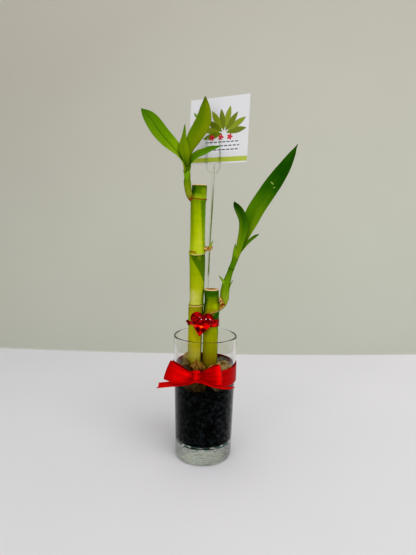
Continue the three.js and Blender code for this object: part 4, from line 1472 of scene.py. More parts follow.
@dataclass
class PebbleTop:
    """The layer of river pebbles round the canes."""

    pebbles: Sequence[tuple[str, Point, Point, float, Stone]] = (
        ("left_back", (-16.8, 8.4, 83.6), (4.2, 5, 7.8), 10, Stone.TAN),
        ("left_front", (-17, -8.4, 83), (5.2, 4.8, 7), -20, Stone.UMBER),
        ("front", (-5.8, -14.2, 82.4), (7.4, 5.2, 6.8), 6, Stone.BROWN),
        ("front_mid", (6.6, -15.8, 81), (5, 4.3, 7), -12, Stone.GREY),
        ("right", (16.2, -9.2, 82), (7.8, 5.6, 7.8), 28, Stone.GREY),
        ("right_back", (16.2, 9.6, 80.6), (6, 5, 6.6), -30, Stone.SLATE),
        ("right_edge", (20.4, 0.6, 76.4), (3.3, 4.3, 5.4), 0, Stone.TAN),
        ("back", (8.2, 17.6, 79.6), (5.4, 4.6, 6), 12, Stone.UMBER),
        ("back_left", (-8.6, 17, 79), (5.4, 4.6, 6.2), -14, Stone.TAN),
        ("mid_left", (-6, 8.8, 72.4), (3.4, 3.1, 4.2), 0, Stone.UMBER),
        ("mid_right", (5.4, 8.8, 72.4), (3.6, 3.1, 4.4), 0, Stone.GREY),
        ("left_edge", (-21.2, -0.6, 76.2), (2.9, 4, 5.2), 0, Stone.BROWN),
        ("low_front", (-12.5, -17.2, 69), (5.1, 3.4, 5), -30, Stone.UMBER),
        ("low_mid", (-4.2, -21, 69.8), (5.7, 3.2, 5.4), -6, Stone.UMBER),
        ("low_right", (10.8, -18, 69.4), (5, 3.5, 5), 24, Stone.SLATE)
    )

    def build(self) -> None:
        """Makes each kind of stone once and shapes every pebble."""
        finishes = {}
        for stone in Stone:
            finishes[stone] = RiverStone(f"river_stone_{stone.name.lower()}", *stone.value).material()
        for name, *form, stone in self.pebbles:
            Pebble(f"pebble_{name}", *form).build(finishes[stone])


@dataclass(frozen=True)
class Scar:
    """A raised leaf scar: its height, its bulge, how far it swoops and towards which angle."""

    height: float
    bulge: float
    swoop: float
    toward: float


@dataclass
class Cane:
    """A cut cane: a straight stem with raised scars and a sawn top."""

    name: str
    node: str
    foot: float
    top: float
    axis: tuple[Point, Point]
    radius: Table
    scars: Sequence[Scar]
    skin_finish: CaneSkin
    sway: Sequence[Point]
    scar_reach: float = 1.3
    lip: Point = (0.9, 0.28, 0.16)  # on each scar: how far above its middle, its reach and how proud it is
    groove: Point = (-0.75, 0.3, -0.14)
    step: float = 0.8
    sides: int = 80

    def centre_at(self, height: float | np.ndarray) -> tuple:
        """The middle at a height: on the axis, plus how far the cane sways off it.

        Args:
            height: The height, or an array of heights.

        Returns:
            X and Y there.
        """
        (z0, x0, y0), (z1, x1, y1) = self.axis
        share = (height - z0) / (z1 - z0)
        levels, off_x, off_y = zip(*self.sway)
        x = x0 + (x1 - x0) * share + np.interp(height, levels, off_x)
        return x, y0 + (y1 - y0) * share + np.interp(height, levels, off_y)

    def levels(self) -> np.ndarray:
        """Levels of the rings, close together at the scars and at the sawn edge.

        Returns:
            The levels, from the foot up.
        """
        levels = set(np.arange(self.foot, self.top - 1, self.step).round(2))
        for scar in self.scars:
            levels |= set(np.arange(scar.height - 3, scar.height + 3, 0.25).round(2))
        levels |= {self.top - 0.75, self.top - 0.55, self.top - 0.35, self.top - 0.15, self.top}
        return np.array(sorted(levels))

    def build(self) -> None:
        """Shapes the cane, with the way round and the level as its surface coordinates."""
        levels = self.levels()
        radius = np.array([along(self.radius, h) for h in levels])
        for scar in self.scars:
            for above, reach, proud in ((0, self.scar_reach, scar.bulge), self.lip, self.groove):
                radius += proud * np.exp(-(((levels - scar.height - above) / reach) ** 2))
        radius -= 0.25 * np.clip((levels - self.top + 0.35) / 0.35, 0, 1) ** 2
        rings = turned(list(zip(radius, levels)), self.sides)
        angle = np.arctan2(rings[..., 1], rings[..., 0])
        away = np.zeros_like(angle)
        for scar in self.scars:
            near = np.exp(-(((rings[..., 2] - scar.height) / 6) ** 2))
            rings[..., 2] += scar.swoop * near * np.cos(angle - scar.toward)
            away = np.maximum(away, np.exp(-(((levels[:, None] - scar.height) / 1.1) ** 2)))
        x, y = self.centre_at(rings[..., 2])
        # Fine grain, rough at the scars, and slow swells four times as long as wide
        rough = lumps_at(rings, 1.1, 3) * (0.02 + 0.16 * away)
        slow = lumps_at(rings * np.array([1, 1, 0.25]), 7, 5) * 0.12
        swell = 1 + (rough + slow) / radius[:, None]
        rings[..., 0] = rings[..., 0] * swell + x
        rings[..., 1] = rings[..., 1] * swell + y
        top_x, top_y = self.centre_at(self.top)
        cut = SawnPith((top_x, top_y, self.top), radius[-1])
        shape = skin(rings, levels, cap_slot=1)
        sawn = 4 * self.sides
        walls = (len(levels) - 1) * self.sides
        shape.slots[walls - sawn : walls] = [1] * sawn
        dress(shape, self.name, [self.skin_finish.material(), cut.material()], self.node)


TALL_SKIN = CaneSkin(
    "tall_cane_skin", 20, 240.2,
    light=ramp("20 #5a5a10 86 #b8ae34 93 #d0ca58 104 #c2bc1a 118 #b8b408 133 #9a980e 136 #8e8a14",
        "137.6 #bcc04a 146 #bcc048 153 #aab61c 163 #9cae08 176 #8ca604 182.4 #84a006",
        "184.3 #b0c82c 190 #bccc30 200 #b4c60c 212 #a6be04 221 #94ae04 227.5 #7e9808",
        # The paler stops at 229.9 and 231.8 are a painted highlight just above the top scar
        "229.9 #94ae28 231.8 #86a418 234 #5c7c06 240 #4c6608"),
    dark=ramp("20 #4c4c0c 125 #7f9208 136 #84901a 138 #84a60e 150 #8ca40a 158 #5e8004 181.9 #4c6604",
        "184.4 #92ae18 200 #84a406 215 #648c06 227 #587a06 230 #7a9814 234 #4c7006 240 #486806"),
    border=((20, 0.68), (136, 0.66), (138, 0.6), (150, 0.62), (157, 0.67), (162, 0.6), (170, 0.5),
        (176, 0.42), (182.9, 0.33), (183.5, 0.64), (196, 0.6), (228, 0.55), (230, 0.72), (240, 0.72)),
    lines=(ScarLine(229, 0.45, "#7c3c12", 0.1, 0.9, 0.5), ScarLine(183.1, 0.42, "#cdb676", 0.36, 0.78, 0.4),
        # The dark green line at 182.1 is painted shade under the scar's ridge
        ScarLine(185.2, 0.8, "#8a6420", 0.2, 0.5, 1), ScarLine(182.1, 0.3, "#2c4a06", 0.3, 0.72, 0.3),
        ScarLine(137.9, 0.35, "#4e3a12", 0.2, 0.66, 0.3), ScarLine(136.9, 0.5, "#c9ab6c", 0.1, 0.9, 0.5)),
    patches=(Patch(0.34, 236.5, 0.12, 5.5, "#1f4406", 0.9),
        # Painted shade down the left side, over the cane's darker olive: the patches at 221, 206 and 150
        Patch(0.29, 221, 0.11, 15, "#486404", 0.9, 0, 0.8),
        Patch(0.36, 206, 0.08, 24, "#768a04", 0.8, 0, 0.9),
        # Painted highlights: the pale stripe at 194 and the pale patch at 145
        Patch(0.55, 194, 0.04, 13, "#c6cc48", 0.5, 0, 0.9), Patch(0.62, 235.5, 0.09, 4, "#8aa404", 0.5),
        Patch(0.27, 150, 0.08, 30, "#6e8204", 0.6), Patch(0.4, 145, 0.1, 7, "#c3c667", 0.6),
        Patch(0.38, 98, 0.08, 9, "#b4ae5e", 0.5), Patch(0.56, 88.6, 0.035, 2.2, "#a96a4a", 0.9))
)

SHORT_SKIN = CaneSkin(
    "short_cane_skin", 20, 151.2,
    light=ramp("20 #585410 88 #9f8f0e 98 #9f9e0a 112 #98a008 122 #8c9a08 129 #878a10 131.4 #8d7334",
        "133 #89840e 137 #878f04 142 #728402 147 #4e6e04 151 #3d5b06"),
    dark=ramp("20 #494a0c 88 #839414 104 #7b9814 112 #70940a 122 #6a8f08 130 #3b6a08 133 #99a012",
        "142 #8b9c08 151 #49710a"),
    border=((20, 0.72), (110, 0.7), (118, 0.62), (130, 0.6), (132, 0.66), (151, 0.68)),
    lines=(ScarLine(131.3, 0.42, "#b7915a", 0.3, 0.8, 0.5),
        ScarLine(130.5, 0.3, "#583610", 0.34, 0.6, 0.4)),
    # The dark patch at 141 on the left side is painted shadow from the tall cane beside it
    patches=(Patch(0.62, 126.4, 0.14, 5.6, "#1b5006", 0.95), Patch(0.3, 141, 0.12, 12, "#254504", 0.9),
        Patch(0.6, 136.5, 0.09, 4, "#97ab0a", 0.8), Patch(0.5, 149, 0.2, 3.6, "#2b5006", 0.6))
)

TALL_CANE = Cane(
    "cane_tall", "tall_cane", 20, 241, ((20, -10.4, -1), (240, -7.35, -1)),
    ((20, 6), (88, 6.1), (120, 6.25), (126, 6.6), (136, 6.6), (142, 6.1), (151, 6.4), (161, 6.6), (177, 7),
        (186, 6.8), (199, 6.5), (226, 6.55), (231, 6.4), (240, 6.4)),
    (Scar(137, 0.3, 0.4, 0), Scar(183.3, 0.5, -1.5, -1.8), Scar(228.9, 0.6, 0.3, 2.4)), TALL_SKIN,
    ((20, 0, 0), (134, -0.1, 0), (142, 0.4, 0.3), (151, 0.3, 0.5), (161, 0.2, 0.3), (170, 0.1, 0),
        (177, -0.2, 0), (182, -0.5, 0), (186, -0.4, 0), (199, -0.6, 0), (213, -0.8, 0), (226, -1, 0),
        (231, -0.35, 0), (241, -0.28, 0))
)
SHORT_CANE = Cane(
    "cane_short", "short_cane", 20, 152, ((20, 3.6, -3), (151, 5.4, -3)),
    ((20, 6.2), (88, 6.5), (112, 6.7), (122, 6.8), (130, 7.2), (133, 7.1), (137, 6.8), (142, 6.3),
        (151, 6.4)), (Scar(131.6, 0.35, 2.4, -0.3),), SHORT_SKIN,
    ((20, 0, 0), (88, -0.2, 0), (122, -0.35, 0), (130, -0.42, -0.5), (142, -0.3, -0.8), (152, -1, -0.9))
)


@dataclass
class Shoot:
    """A side shoot's stem with its dry collar and the sheaths of its lost leaves."""

    name: str
    node: str
    stem: Stalk
    finish: ShootSkin
    sheaths: Sequence[Strip] = ()
    crust: Sequence[Strip | Stalk] = ()

    def build(self, husk: Material) -> None:
        """Builds the stem, its sheaths and its crust as one piece.

        Args:
            husk: The material of dry scales and cork.
        """
        parts = [sheath.shape().in_slot(1) for sheath in self.sheaths]
        parts += [scale.shape().in_slot(2) for scale in self.crust]
        pale = ShootSkin(f"{self.finish.name}_sheath", ramp("0 #6f9a14 0.6 #86b02a 1 #5c7a1c"))
        materials = [self.finish.material(), pale.material(), husk]
        dress(self.stem.shape().with_others(*parts), self.name, materials, self.node)


def flakes(centre: Point, axis: Point, radius: float, size: float, count: int, seed: int) -> list[Strip]:
    """Small dry scales that stand out all round a point, each turned its own way.

    Args:
        centre: The middle of the tuft.
        axis: The way that it looks.
        radius: How far out the scales start.
        size: Length of a scale.
        count: How many scales.
        seed: Seed of their turns.

    Returns:
        One strip for each scale.
    """
    chance = np.random.default_rng(seed)
    look = unit(np.array(axis, float))
    side = unit(np.cross(look, [0.3, 0.5, 0.8]))
    up = np.cross(look, side)
    scales = []
    for k in range(count):
        angle = 2 * math.pi * (k + 0.4 * chance.random()) / count
        out = math.cos(angle) * side + math.sin(angle) * up
        start = np.array(centre) + out * radius * (0.75 + 0.4 * chance.random())
        reach = size * (0.6 + 0.7 * chance.random())
        middle = start + reach * (0.45 * out + 0.35 * look)
        end = start + reach * (0.75 * out + (0.4 + 0.6 * chance.random()) * look)
        facing = tuple(look - 0.3 * out)
        width = size * (0.22 + 0.12 * chance.random())
        scale = Strip(
            (tuple(start), tuple(middle), tuple(end)), ((0, *facing), (1, *facing)),
            ((0, width), (0.5, width * 0.9), (1, 0.12)), ((0, 0.6), (1, 0.3)), thickness=0.25, rows=6,
            columns=4
        )
        scales.append(scale)
    return scales


# A strip says its spine, where it faces, its half width and its curl, in that order, and a stalk its
# spine and its radius; all but the spine are tables along it, from 0 to 1
LEFT_SHEATHS = (
    Strip(((-18.6, -5.6, 240.5), (-19.6, -6.4, 246.6), (-21.2, -6, 252.6)),
        ((0, 0.5, 0.8, -0.1), (1, 0.7, 0.6, 0.1)), ((0, 2.4), (0.6, 1.7), (1, 0.25)), ((0, 1.1), (1, 0.5)),
        thickness=0.5, rows=24, columns=12),
    Strip(((-17.4, -6, 243.5), (-17.2, -6.9, 249.5), (-15, -6.9, 256.4)),
        ((0, -0.2, 1, 0), (1, -0.5, 0.8, 0.1)), ((0, 2.2), (0.6, 1.6), (1, 0.25)), ((0, 1.1), (1, 0.5)),
        thickness=0.5, rows=24, columns=12)
)

TALL_SHOOT = Shoot(
    "shoot_left", "tall_shoot_stem",
    Stalk(
        ((-11, -1.6, 226.7), (-14.2, -2.8, 229), (-16.2, -3.4, 232.6), (-17.4, -3.8, 237.9),
            (-18, -3.8, 243.6), (-18.1, -3.6, 248.9), (-18.7, -3.4, 254.2), (-18.8, -3.6, 261)),
        ((0, 2.3), (0.12, 2.5), (0.2, 2.8), (0.4, 3.05), (0.52, 3.1), (0.56, 2.75), (0.75, 2.5),
            (0.79, 1.1), (1, 0.6)), lump=0.12, rings=90),
    ShootSkin("left_shoot_skin",
        ramp("0 #70521e 0.14 #8c832e 0.24 #979e34 0.38 #83971a 0.52 #728e10 0.6 #66880c 0.8 #62850c"),
        rings=((0.545, 0.012, "#486010"), (0.13, 0.03, "#7f4318"))), sheaths=LEFT_SHEATHS,
    crust=flakes((-12.9, -4.4, 229.2), (-0.5, -0.6, -0.35), 2.4, 1.6, 9, 3)
)

RIGHT_SHEATHS = (
    Strip(((17.4, -5.8, 150.5), (15.4, -7.4, 157.6), (10.6, -8.6, 164.5)),
        ((0, 0.5, -0.8, 0.2), (1, 0.3, -0.9, 0.3)), ((0, 2.4), (0.5, 1.6), (1, 0.25)), ((0, 0.9), (1, 0.3)),
        thickness=0.5, rows=30, columns=12),
    Strip(((18.9, -5.1, 150.5), (20.9, -5.6, 156.6), (22.7, -6, 160.3)),
        ((0, -0.8, -0.4, 0.2), (1, -0.8, -0.4, 0.4)), ((0, 2), (0.6, 1), (1, 0.25)), ((0, 0.8), (1, 0.3)),
        thickness=0.5, rows=24, columns=12),
    Strip(((22.8, -7.4, 177.6), (23.2, -8, 184.6), (23.9, -7.8, 192)),
        ((0, 0.5, 0.9, 0), (1, 0.8, 0.5, 0.2)), ((0, 2.4), (0.5, 2), (0.8, 1.3), (1, 0.25)),
        ((0, 0.8), (1, 0.3)), thickness=0.5, rows=20, columns=12)
)

RIGHT_CRUST = Stalk(
    ((11.2, -8.4, 145.6), (13.2, -8.8, 142.2), (13.8, -8.6, 138.6), (12.6, -8.2, 135.2)),
    ((0, 0.7), (0.3, 1.4), (0.7, 1.6), (1, 0.9)), lump=0.6, lump_size=1.3, rings=40
)

SHORT_SHOOT = Shoot(
    "shoot_right", "short_shoot_stem",
    Stalk(
        ((8, -3.5, 135.2), (12.8, -4, 137.2), (15.7, -4.3, 142.4), (16.1, -4.4, 149), (17.2, -4.7, 157),
            (18.9, -5, 163), (20.9, -5.4, 169.4), (23.4, -5.8, 176.3), (26.6, -6.4, 186.3),
            (28.3, -6.7, 190.6), (30.2, -6.9, 197)),
        ((0, 3.6), (0.1, 3.4), (0.16, 3.6), (0.22, 4), (0.32, 3.8), (0.45, 3), (0.55, 2.5), (0.58, 2.7),
            (0.61, 2.5), (0.78, 2.7), (0.86, 2.6), (0.89, 1.1), (1, 0.6)), lump=0.14, rings=130),
    ShootSkin("right_shoot_skin",
        ramp("0 #918b20 0.12 #9fab2a 0.18 #98b038 0.3 #7a9c1a 0.5 #688e14 0.57 #5c820e 0.75 #658b10",
            "0.9 #64870e"), rings=((0.585, 0.008, "#324a0a"), (0.12, 0.012, "#965f3a"))), RIGHT_SHEATHS,
    [RIGHT_CRUST, *flakes((13.2, -8, 139.6), (0.3, -0.9, -0.1), 2.4, 1.3, 7, 5)]
)


@dataclass
class SideBud:
    """The dormant bud on the tall cane: a crusted cushion, dead scales and one green tip."""

    cushion: Stalk = Stalk(
        ((-6, -2, 184.8), (-1.6, -2.8, 186.4), (1.6, -3.2, 187.2), (4.6, -3.4, 188.6)),
        ((0, 2.4), (0.45, 2.1), (0.75, 1.7), (1, 0.7)), lump=0.5, lump_size=1.3, rings=30, sides=24
    )
    tip: Stalk = Stalk(
        ((0.8, -3.3, 186.8), (2.9, -3.7, 190), (4.9, -3.9, 194)), ((0, 1.3), (0.5, 0.9), (1, 0.3)),
        rings=20, sides=16
    )
    finish: ShootSkin = ShootSkin("bud_tip_skin", ramp("0 #b4b84a 0.5 #93b01c 1 #7aa416"))

    def build(self, husk: Material) -> None:
        """Builds the bud as one piece.

        Args:
            husk: The material of dry scales and cork.
        """
        scales = flakes((1.2, -4, 187), (0.7, -0.6, 0.2), 1.3, 2, 9, 11)
        parts = [part.shape().in_slot(1) for part in (self.cushion, *scales)]
        shape = self.tip.shape().with_others(*parts)
        dress(shape, "side_bud_crusted", [self.finish.material(), husk], "side_bud")


@dataclass(frozen=True)
class Leaf:
    """One leaf: the node it stands for, its blade and its skin."""

    node: str
    blade: Strip
    finish: LeafSkin

    def build(self) -> None:
        """Builds the leaf."""
        dress(self.blade.shape(), f"{self.node}_blade", [self.finish.material()], self.node)


LEAVES = (
    Leaf("leaf_left",
        Strip(
            ((-20.6, -4.2, 251.5), (-21.6, -5.2, 258.6), (-24.7, -6.8, 264.1), (-30.1, -8.5, 270.4),
                (-40.3, -10.5, 281.2), (-48.8, -11.5, 292.3), (-56, -11, 300)),
            ((0, 0.9, -0.1, 0.2), (0.2, 0.7, -0.6, 0.3), (0.45, 0.35, -0.85, 0.35), (1, 0.25, -0.9, 0.3)),
            ((0, 3.6), (0.15, 4.8), (0.35, 6.9), (0.6, 7.2), (0.78, 6.5), (0.9, 4.4), (1, 0.3)),
            ((0, 1.3), (0.25, 0.85), (0.5, 0.4), (1, 0.25)), ripple=0.3, groove=0.3, rows=90, columns=48),
        LeafSkin("left_leaf_skin", near=ramp("0 #849820 0.2 #98bc1c 0.45 #729810 0.8 #5c830c 1 #40670a"),
            far=ramp("0 #789018 0.25 #92b81c 0.5 #6a920c 0.85 #587f0a 1 #375e0a"), rib="#37580a",
            rib_share=0.75)),
    Leaf("leaf_upright",
        Strip(
            ((-18.6, -6.4, 252.5), (-18.5, -6.6, 260.5), (-17.4, -5.6, 269.5), (-12.5, -4, 280),
                (-8.1, -2.5, 288), (-5.2, -1, 295.4), (-4.2, 0, 305.6), (-4.2, -0.5, 313.6)),
            ((0, 0, 1, 0.1), (0.3, 0, 1, 0.1), (1, 0.1, 1, 0)),
            ((0, 2.9), (0.14, 3.3), (0.27, 4.4), (0.47, 6.4), (0.62, 6.8), (0.75, 6.1), (0.88, 3.9),
                (1, 0.3)), ((0, 1.2), (0.2, 0.9), (0.5, 0.4), (1, 0.25)), ripple=0.3, groove=0.2, rows=90,
            columns=48),
        LeafSkin("upright_leaf_skin", near=ramp("0 #6a780c 0.3 #768908 0.6 #78890a 0.9 #76850e 1 #535f10"),
            far=ramp("0 #5d760a 0.3 #6b8508 0.6 #5d7808 0.9 #5f780c 1 #4a5710"), rib="#55720a",
            rib_share=0.35, blur=0.5)),
    Leaf("leaf_small_right",
        Strip(
            ((-16.6, -5, 251.5), (-15.8, -6, 257.6), (-13.2, -7.2, 261.9), (-9.6, -8.4, 264.6),
                (-3.4, -9.6, 267.2), (2.8, -10.5, 269.8), (9.1, -10.5, 271.7)),
            ((0, -0.9, -0.2, 0.2), (0.3, -0.5, -0.7, 0.5), (1, -0.2, -0.8, 0.6)),
            ((0, 3), (0.3, 4.4), (0.55, 4.2), (0.8, 2.8), (1, 0.3)), ((0, 1.1), (0.3, 0.5), (1, 0.3)),
            groove=0.2, rows=72, columns=36),
        LeafSkin("small_right_leaf_skin", near=ramp("0 #53670a 0.3 #607c0a 0.6 #5a7e0a 1 #456f0a"),
            far=ramp("0 #4c6c08 0.3 #5c8608 0.6 #5c8a0a 1 #4a7a0a"), rib="#315708", rib_share=0.5)),
    Leaf("leaf_furled",
        Strip(
            ((-18.2, -7.2, 256), (-20, -7.8, 265), (-21.3, -7, 272), (-21.2, -4.6, 281),
                (-20.8, -2, 290.6)), ((0, 0.2, -1, 0), (1, 0.2, -1, 0)),
            ((0, 1.6), (0.25, 3.9), (0.42, 4.3), (0.58, 3), (0.72, 1.7), (0.88, 0.9), (1, 0.2)),
            ((0, 1.1), (0.3, 0.5), (0.6, 0.6), (1, 0.4)), rows=48),
        LeafSkin("furled_leaf_skin", near=ramp("0 #4c640a 0.3 #6c820a 0.6 #6a840e 1 #4a6c14"),
            far=ramp("0 #566c0c 0.3 #768c0c 0.6 #708a10 1 #4e7018"), rib_share=0.3)),
    Leaf("leaf_big",
        Strip(
            ((27.4, -5.4, 183), (31, -4.8, 194.5), (34.9, -5.2, 206), (39.6, -6.6, 218.6),
                (49.9, -9, 235.9), (56.4, -10, 245.9), (62.7, -10.5, 255.9), (68.2, -10.5, 266),
                (72.6, -9.5, 274.6)), ((0, -0.3, -1, 0.2), (0.3, -0.35, -0.9, 0.2), (1, -0.3, -0.9, 0.3)),
            ((0, 1.6), (0.05, 3), (0.19, 5.3), (0.32, 7.3), (0.53, 7.6), (0.66, 7.3), (0.79, 5.6),
                (0.91, 2.8), (0.97, 0.8), (1, 0.25)), ((0, 1.2), (0.15, 0.8), (0.35, 0.35), (1, 0.25)),
            ripple=0.3, groove=0.22, rows=110, columns=48),
        LeafSkin("big_leaf_skin", near=ramp("0 #7c9818 0.25 #66900e 0.46 #527608 0.58 #325c06 1 #2c5408"),
            far=ramp("0 #84a41c 0.25 #7a9c18 0.5 #547808 0.62 #2e5a06 1 #254a0a"), rib="#44640c",
            rib_share=0.4,
            patches=(Patch(0.42, 0.635, 0.14, 0.0045, "#b3c270", 0.8, 1.6),
                Patch(0.68, 0.615, 0.08, 0.006, "#b3c270", 0.7, -4),
                Patch(0.4, 0.76, 0.5, 0.1, "#1c4404", 0.7, 0, 0.5)))),
    Leaf("leaf_small_left",
        Strip(
            ((24.8, -8.6, 179), (27.4, -10.2, 193), (29.2, -11, 203), (29, -12.2, 211.2),
                (26.2, -14.5, 217.6), (23.2, -16, 222.7), (21.3, -17, 226.6)),
            ((0, 0.4, 0.9, 0), (0.4, 0.5, 0.85, 0.1), (1, 0.5, 0.7, 0.5)),
            ((0, 0.8), (0.1, 2.3), (0.25, 3.5), (0.4, 4), (0.64, 4.5), (0.82, 4.3), (0.93, 2.9), (1, 0.3)),
            ((0, 1.1), (0.4, 0.75), (1, 0.5)), groove=0.15, rows=72, columns=40),
        LeafSkin("small_left_leaf_skin",
            near=ramp("0 #86a01c 0.3 #668a12 0.6 #466c0e 0.85 #36580a 1 #1f3f08"),
            far=ramp("0 #90a822 0.3 #7e9a16 0.6 #608210 0.85 #4e720c 1 #23440a"), rib="#31500a",
            rib_share=0.3)),
    Leaf("leaf_spur",
        Strip(((29.6, -8.6, 186), (34.2, -8.4, 192.4), (39, -8.4, 197.2), (43.4, -8.4, 200.4)),
            ((0, -0.8, -0.4, 0.4), (0.5, -0.5, -0.6, 0.6), (1, -0.4, -0.6, 0.6)),
            ((0, 1.6), (0.4, 2), (0.8, 1.7), (1, 0.4)), ((0, 1.1), (0.5, 0.7), (1, 0.4)), rows=48),
        LeafSkin("spur_leaf_skin", near=ramp("0 #6a8b14 0.5 #5c8012 1 #35580c"),
            far=ramp("0 #6a8b14 0.5 #638712 1 #3a5e0c"), rib_share=0.2))
)


@dataclass
class SatinBow:
    """The satin ribbon: one strip wrapped round the glass and tied in front in a bow.

    The strip is gathered to a few millimetres at the knot and lies at its full width at the sides, in
    the loops and at the tails.
    """

    tumbler: Tumbler
    width: float = 15.0
    thickness: float = 0.7
    middle: float = 78.2
    gathered_width: float = 9.2
    gathered_middle: float = 80.5
    gathers_from: float = 0.15  # as shares of the radius, how far off the knot it starts to spread out
    gathers_over: float = 0.95
    fold: float = 0.35
    gap: float = 0.3
    knot_centre: Point = (-6.4, -30.9, 83)
    knot_halves: Point = (4.4, 4.3, 4.9)
    flat_length: float = 372.0
    starts: Sequence[float] = (238, 318, 380, 410)  # where each part begins along the satin's painted sheen and shade
    # The knot's place along the painted sheen, where it is bright
    knot_start: float = 250.0
    finish: PolyesterSatin = field(default_factory=PolyesterSatin)

    def parts(self) -> list[Strip]:
        """The two loops and the two tails.

        Returns:
            The left loop, the right loop, the right tail and the left tail.
        """
        left_loop = Strip(
            ((-6.5, -32.6, 83.2), (-13, -35.6, 82.9), (-21, -37, 84.8), (-28, -35.8, 87.8),
                (-31, -33.2, 88.8), (-28.6, -30.8, 87.6), (-20, -29.8, 83.4), (-12, -29.4, 82),
                (-6.5, -29.4, 83)),
            ((0, 0, 1, 0), (0.36, 0.5, 0.85, -0.1), (0.5, 0.94, 0, -0.33), (0.64, 0.5, -0.85, -0.1),
                (1, 0, -1, 0)), ((0, 3.2), (0.12, 5.4), (0.32, 7.8), (0.7, 7.8), (0.88, 5.4), (1, 3.2)),
            ((0, 0.8), (0.3, 0.2), (0.7, 0.2), (1, 0.8)),
            pleats=((0, 1), (0.18, 0.7), (0.36, 0.15), (0.5, 0), (1, 0)), rows=110
        )
        right_loop = Strip(
            ((-6, -32.6, 83.2), (0.5, -35.2, 84), (7, -36.8, 85), (12, -35.8, 85.5), (13.9, -33.2, 85.6),
                (12, -30.8, 85), (5, -29.6, 83.6), (-2, -29.4, 83), (-6, -29.4, 83)),
            ((0, 0, 1, 0), (0.36, -0.5, 0.85, 0), (0.5, -0.99, 0, -0.12), (0.64, -0.5, -0.85, 0),
                (1, 0, -1, 0)), ((0, 3.2), (0.14, 4.8), (0.34, 7.8), (0.66, 7.8), (0.86, 4.8), (1, 3.2)),
            ((0, 0.8), (0.3, 0.2), (0.7, 0.2), (1, 0.8)),
            pleats=((0, 0.9), (0.2, 0.6), (0.36, 0.12), (0.5, 0), (1, 0)), rows=100
        )
        right_tail = Strip(
            ((-5, -34.4, 82), (0.5, -35.6, 79), (7, -36.2, 76.4), (14, -36, 74.9), (20, -35.4, 74.6),
                (25, -33.6, 75.2)),
            ((0, 0.1, -0.9, 0.4), (0.25, 0.1, -0.2, 0.95), (0.5, 0, 0.16, 0.97), (1, -0.1, 0.16, 0.97)),
            ((0, 1.6), (0.3, 2.8), (0.65, 4.2), (0.88, 3.2), (1, 0.6)), ((0, 0.7), (1, 0.3)), rows=60
        )
        left_tail = Strip(
            ((-7, -32.4, 81.2), (-14, -33.6, 78), (-22, -34, 76.2), (-30, -33.6, 75), (-38, -32.6, 73.6)),
            ((0, -0.1, -0.9, 0.4), (0.3, -0.1, -0.3, 0.9), (0.6, -0.1, -0.12, 1), (1, -0.1, -0.1, 1)),
            ((0, 2.4), (0.35, 4), (0.7, 4.7), (1, 4.8)), ((0, 0.7), (1, 0.8)), rows=60
        )
        return [left_loop, right_loop, right_tail, left_tail]

    def wrap(self) -> Shape:
        """The turn of ribbon round the glass, gathered in folds towards the knot.

        Returns:
            The closed band.
        """
        inner = self.tumbler.radius_at(self.middle + self.width / 2) + self.gap
        stations, rows = 240, 16
        angle = (2 * np.pi * np.arange(stations) / stations + math.pi / 2)[:, None]
        x, y = inner * np.cos(angle), inner * np.sin(angle)
        away = np.hypot(x - self.knot_centre[0], y + inner) / inner
        spread = eased((away - self.gathers_from) / self.gathers_over)
        half = (self.gathered_width + (self.width - self.gathered_width) * spread) / 2
        middle = self.gathered_middle + (self.middle - self.gathered_middle) * spread
        u = np.linspace(-1, 1, rows + 1)
        fold = (self.fold + self.fold * np.sin(9.4 * u + 1)) * (1 - spread)
        outside = 1 + (self.thickness + fold) / inner
        inside = 1 + fold / inner
        radius = np.hstack([outside, inside[:, ::-1]])
        height = middle + half * np.hstack([u, u[::-1]])
        return hoop(np.stack([x * radius, y * radius, height], axis=-1), height - middle, inner * angle)

    def knot(self) -> Shape:
        """The knot: the strip drawn tight round itself, with soft folds down its front.

        Returns:
            The closed knot.
        """
        points, faces = ball(5)
        turn = np.arctan2(points[:, 2], points[:, 0])
        pleat = 1 + 0.05 * np.sin(9 * turn + 2 * points[:, 1])
        folds = 0.93 + 0.11 * np.abs(np.sin(5 * points[:, 0] + 2.4 * points[:, 2]))
        folds = folds + 0.06 * lumps_at(points, 0.6, 2)
        points = points * np.array(self.knot_halves) * (pleat * folds)[:, None] + np.array(self.knot_centre)
        # The knot's place along the satin's painted sheen and shade
        place = self.knot_start + 4 * np.sin(points[:, 0] * 1.6)
        uv = np.column_stack([points[:, 2] - self.knot_centre[2], place])
        return Shape(points, faces, uv)

    def build(self) -> None:
        satin = self.finish.material()
        strips = [part.shape(in_millimetres=True) for part in self.parts()]
        for strip, start in zip(strips, self.starts):
            strip.uv = strip.uv + np.array([0, start])
        shape = self.wrap().with_others(*strips)
        ribbon = dress(shape, "satin_ribbon", [satin], "ribbon")
        knot = dress(self.knot(), "satin_knot", [satin], "ribbon")


def hoop(sections: np.ndarray, across: np.ndarray, length: np.ndarray) -> Shape:
    """A closed hoop of sections that follow each other all the way round.

    Args:
        sections: Sections by points round each section.
        across: Surface coordinate of each point across the band.
        length: Surface coordinate of each section along the band.

    Returns:
        The hoop.
    """
    count, sides = sections.shape[:2]
    number = np.arange(count * sides).reshape(count, sides)
    beside, after = np.roll(number, -1, axis=1), np.roll(number, -1, axis=0)
    cells = np.stack([number, beside, np.roll(after, -1, axis=1), after], axis=-1).reshape(-1, 4)
    uv = np.stack(np.broadcast_arrays(across, length), axis=-1).reshape(-1, 2)
    return Shape(sections.reshape(-1, 3), [tuple(cell) for cell in cells.tolist()], uv)


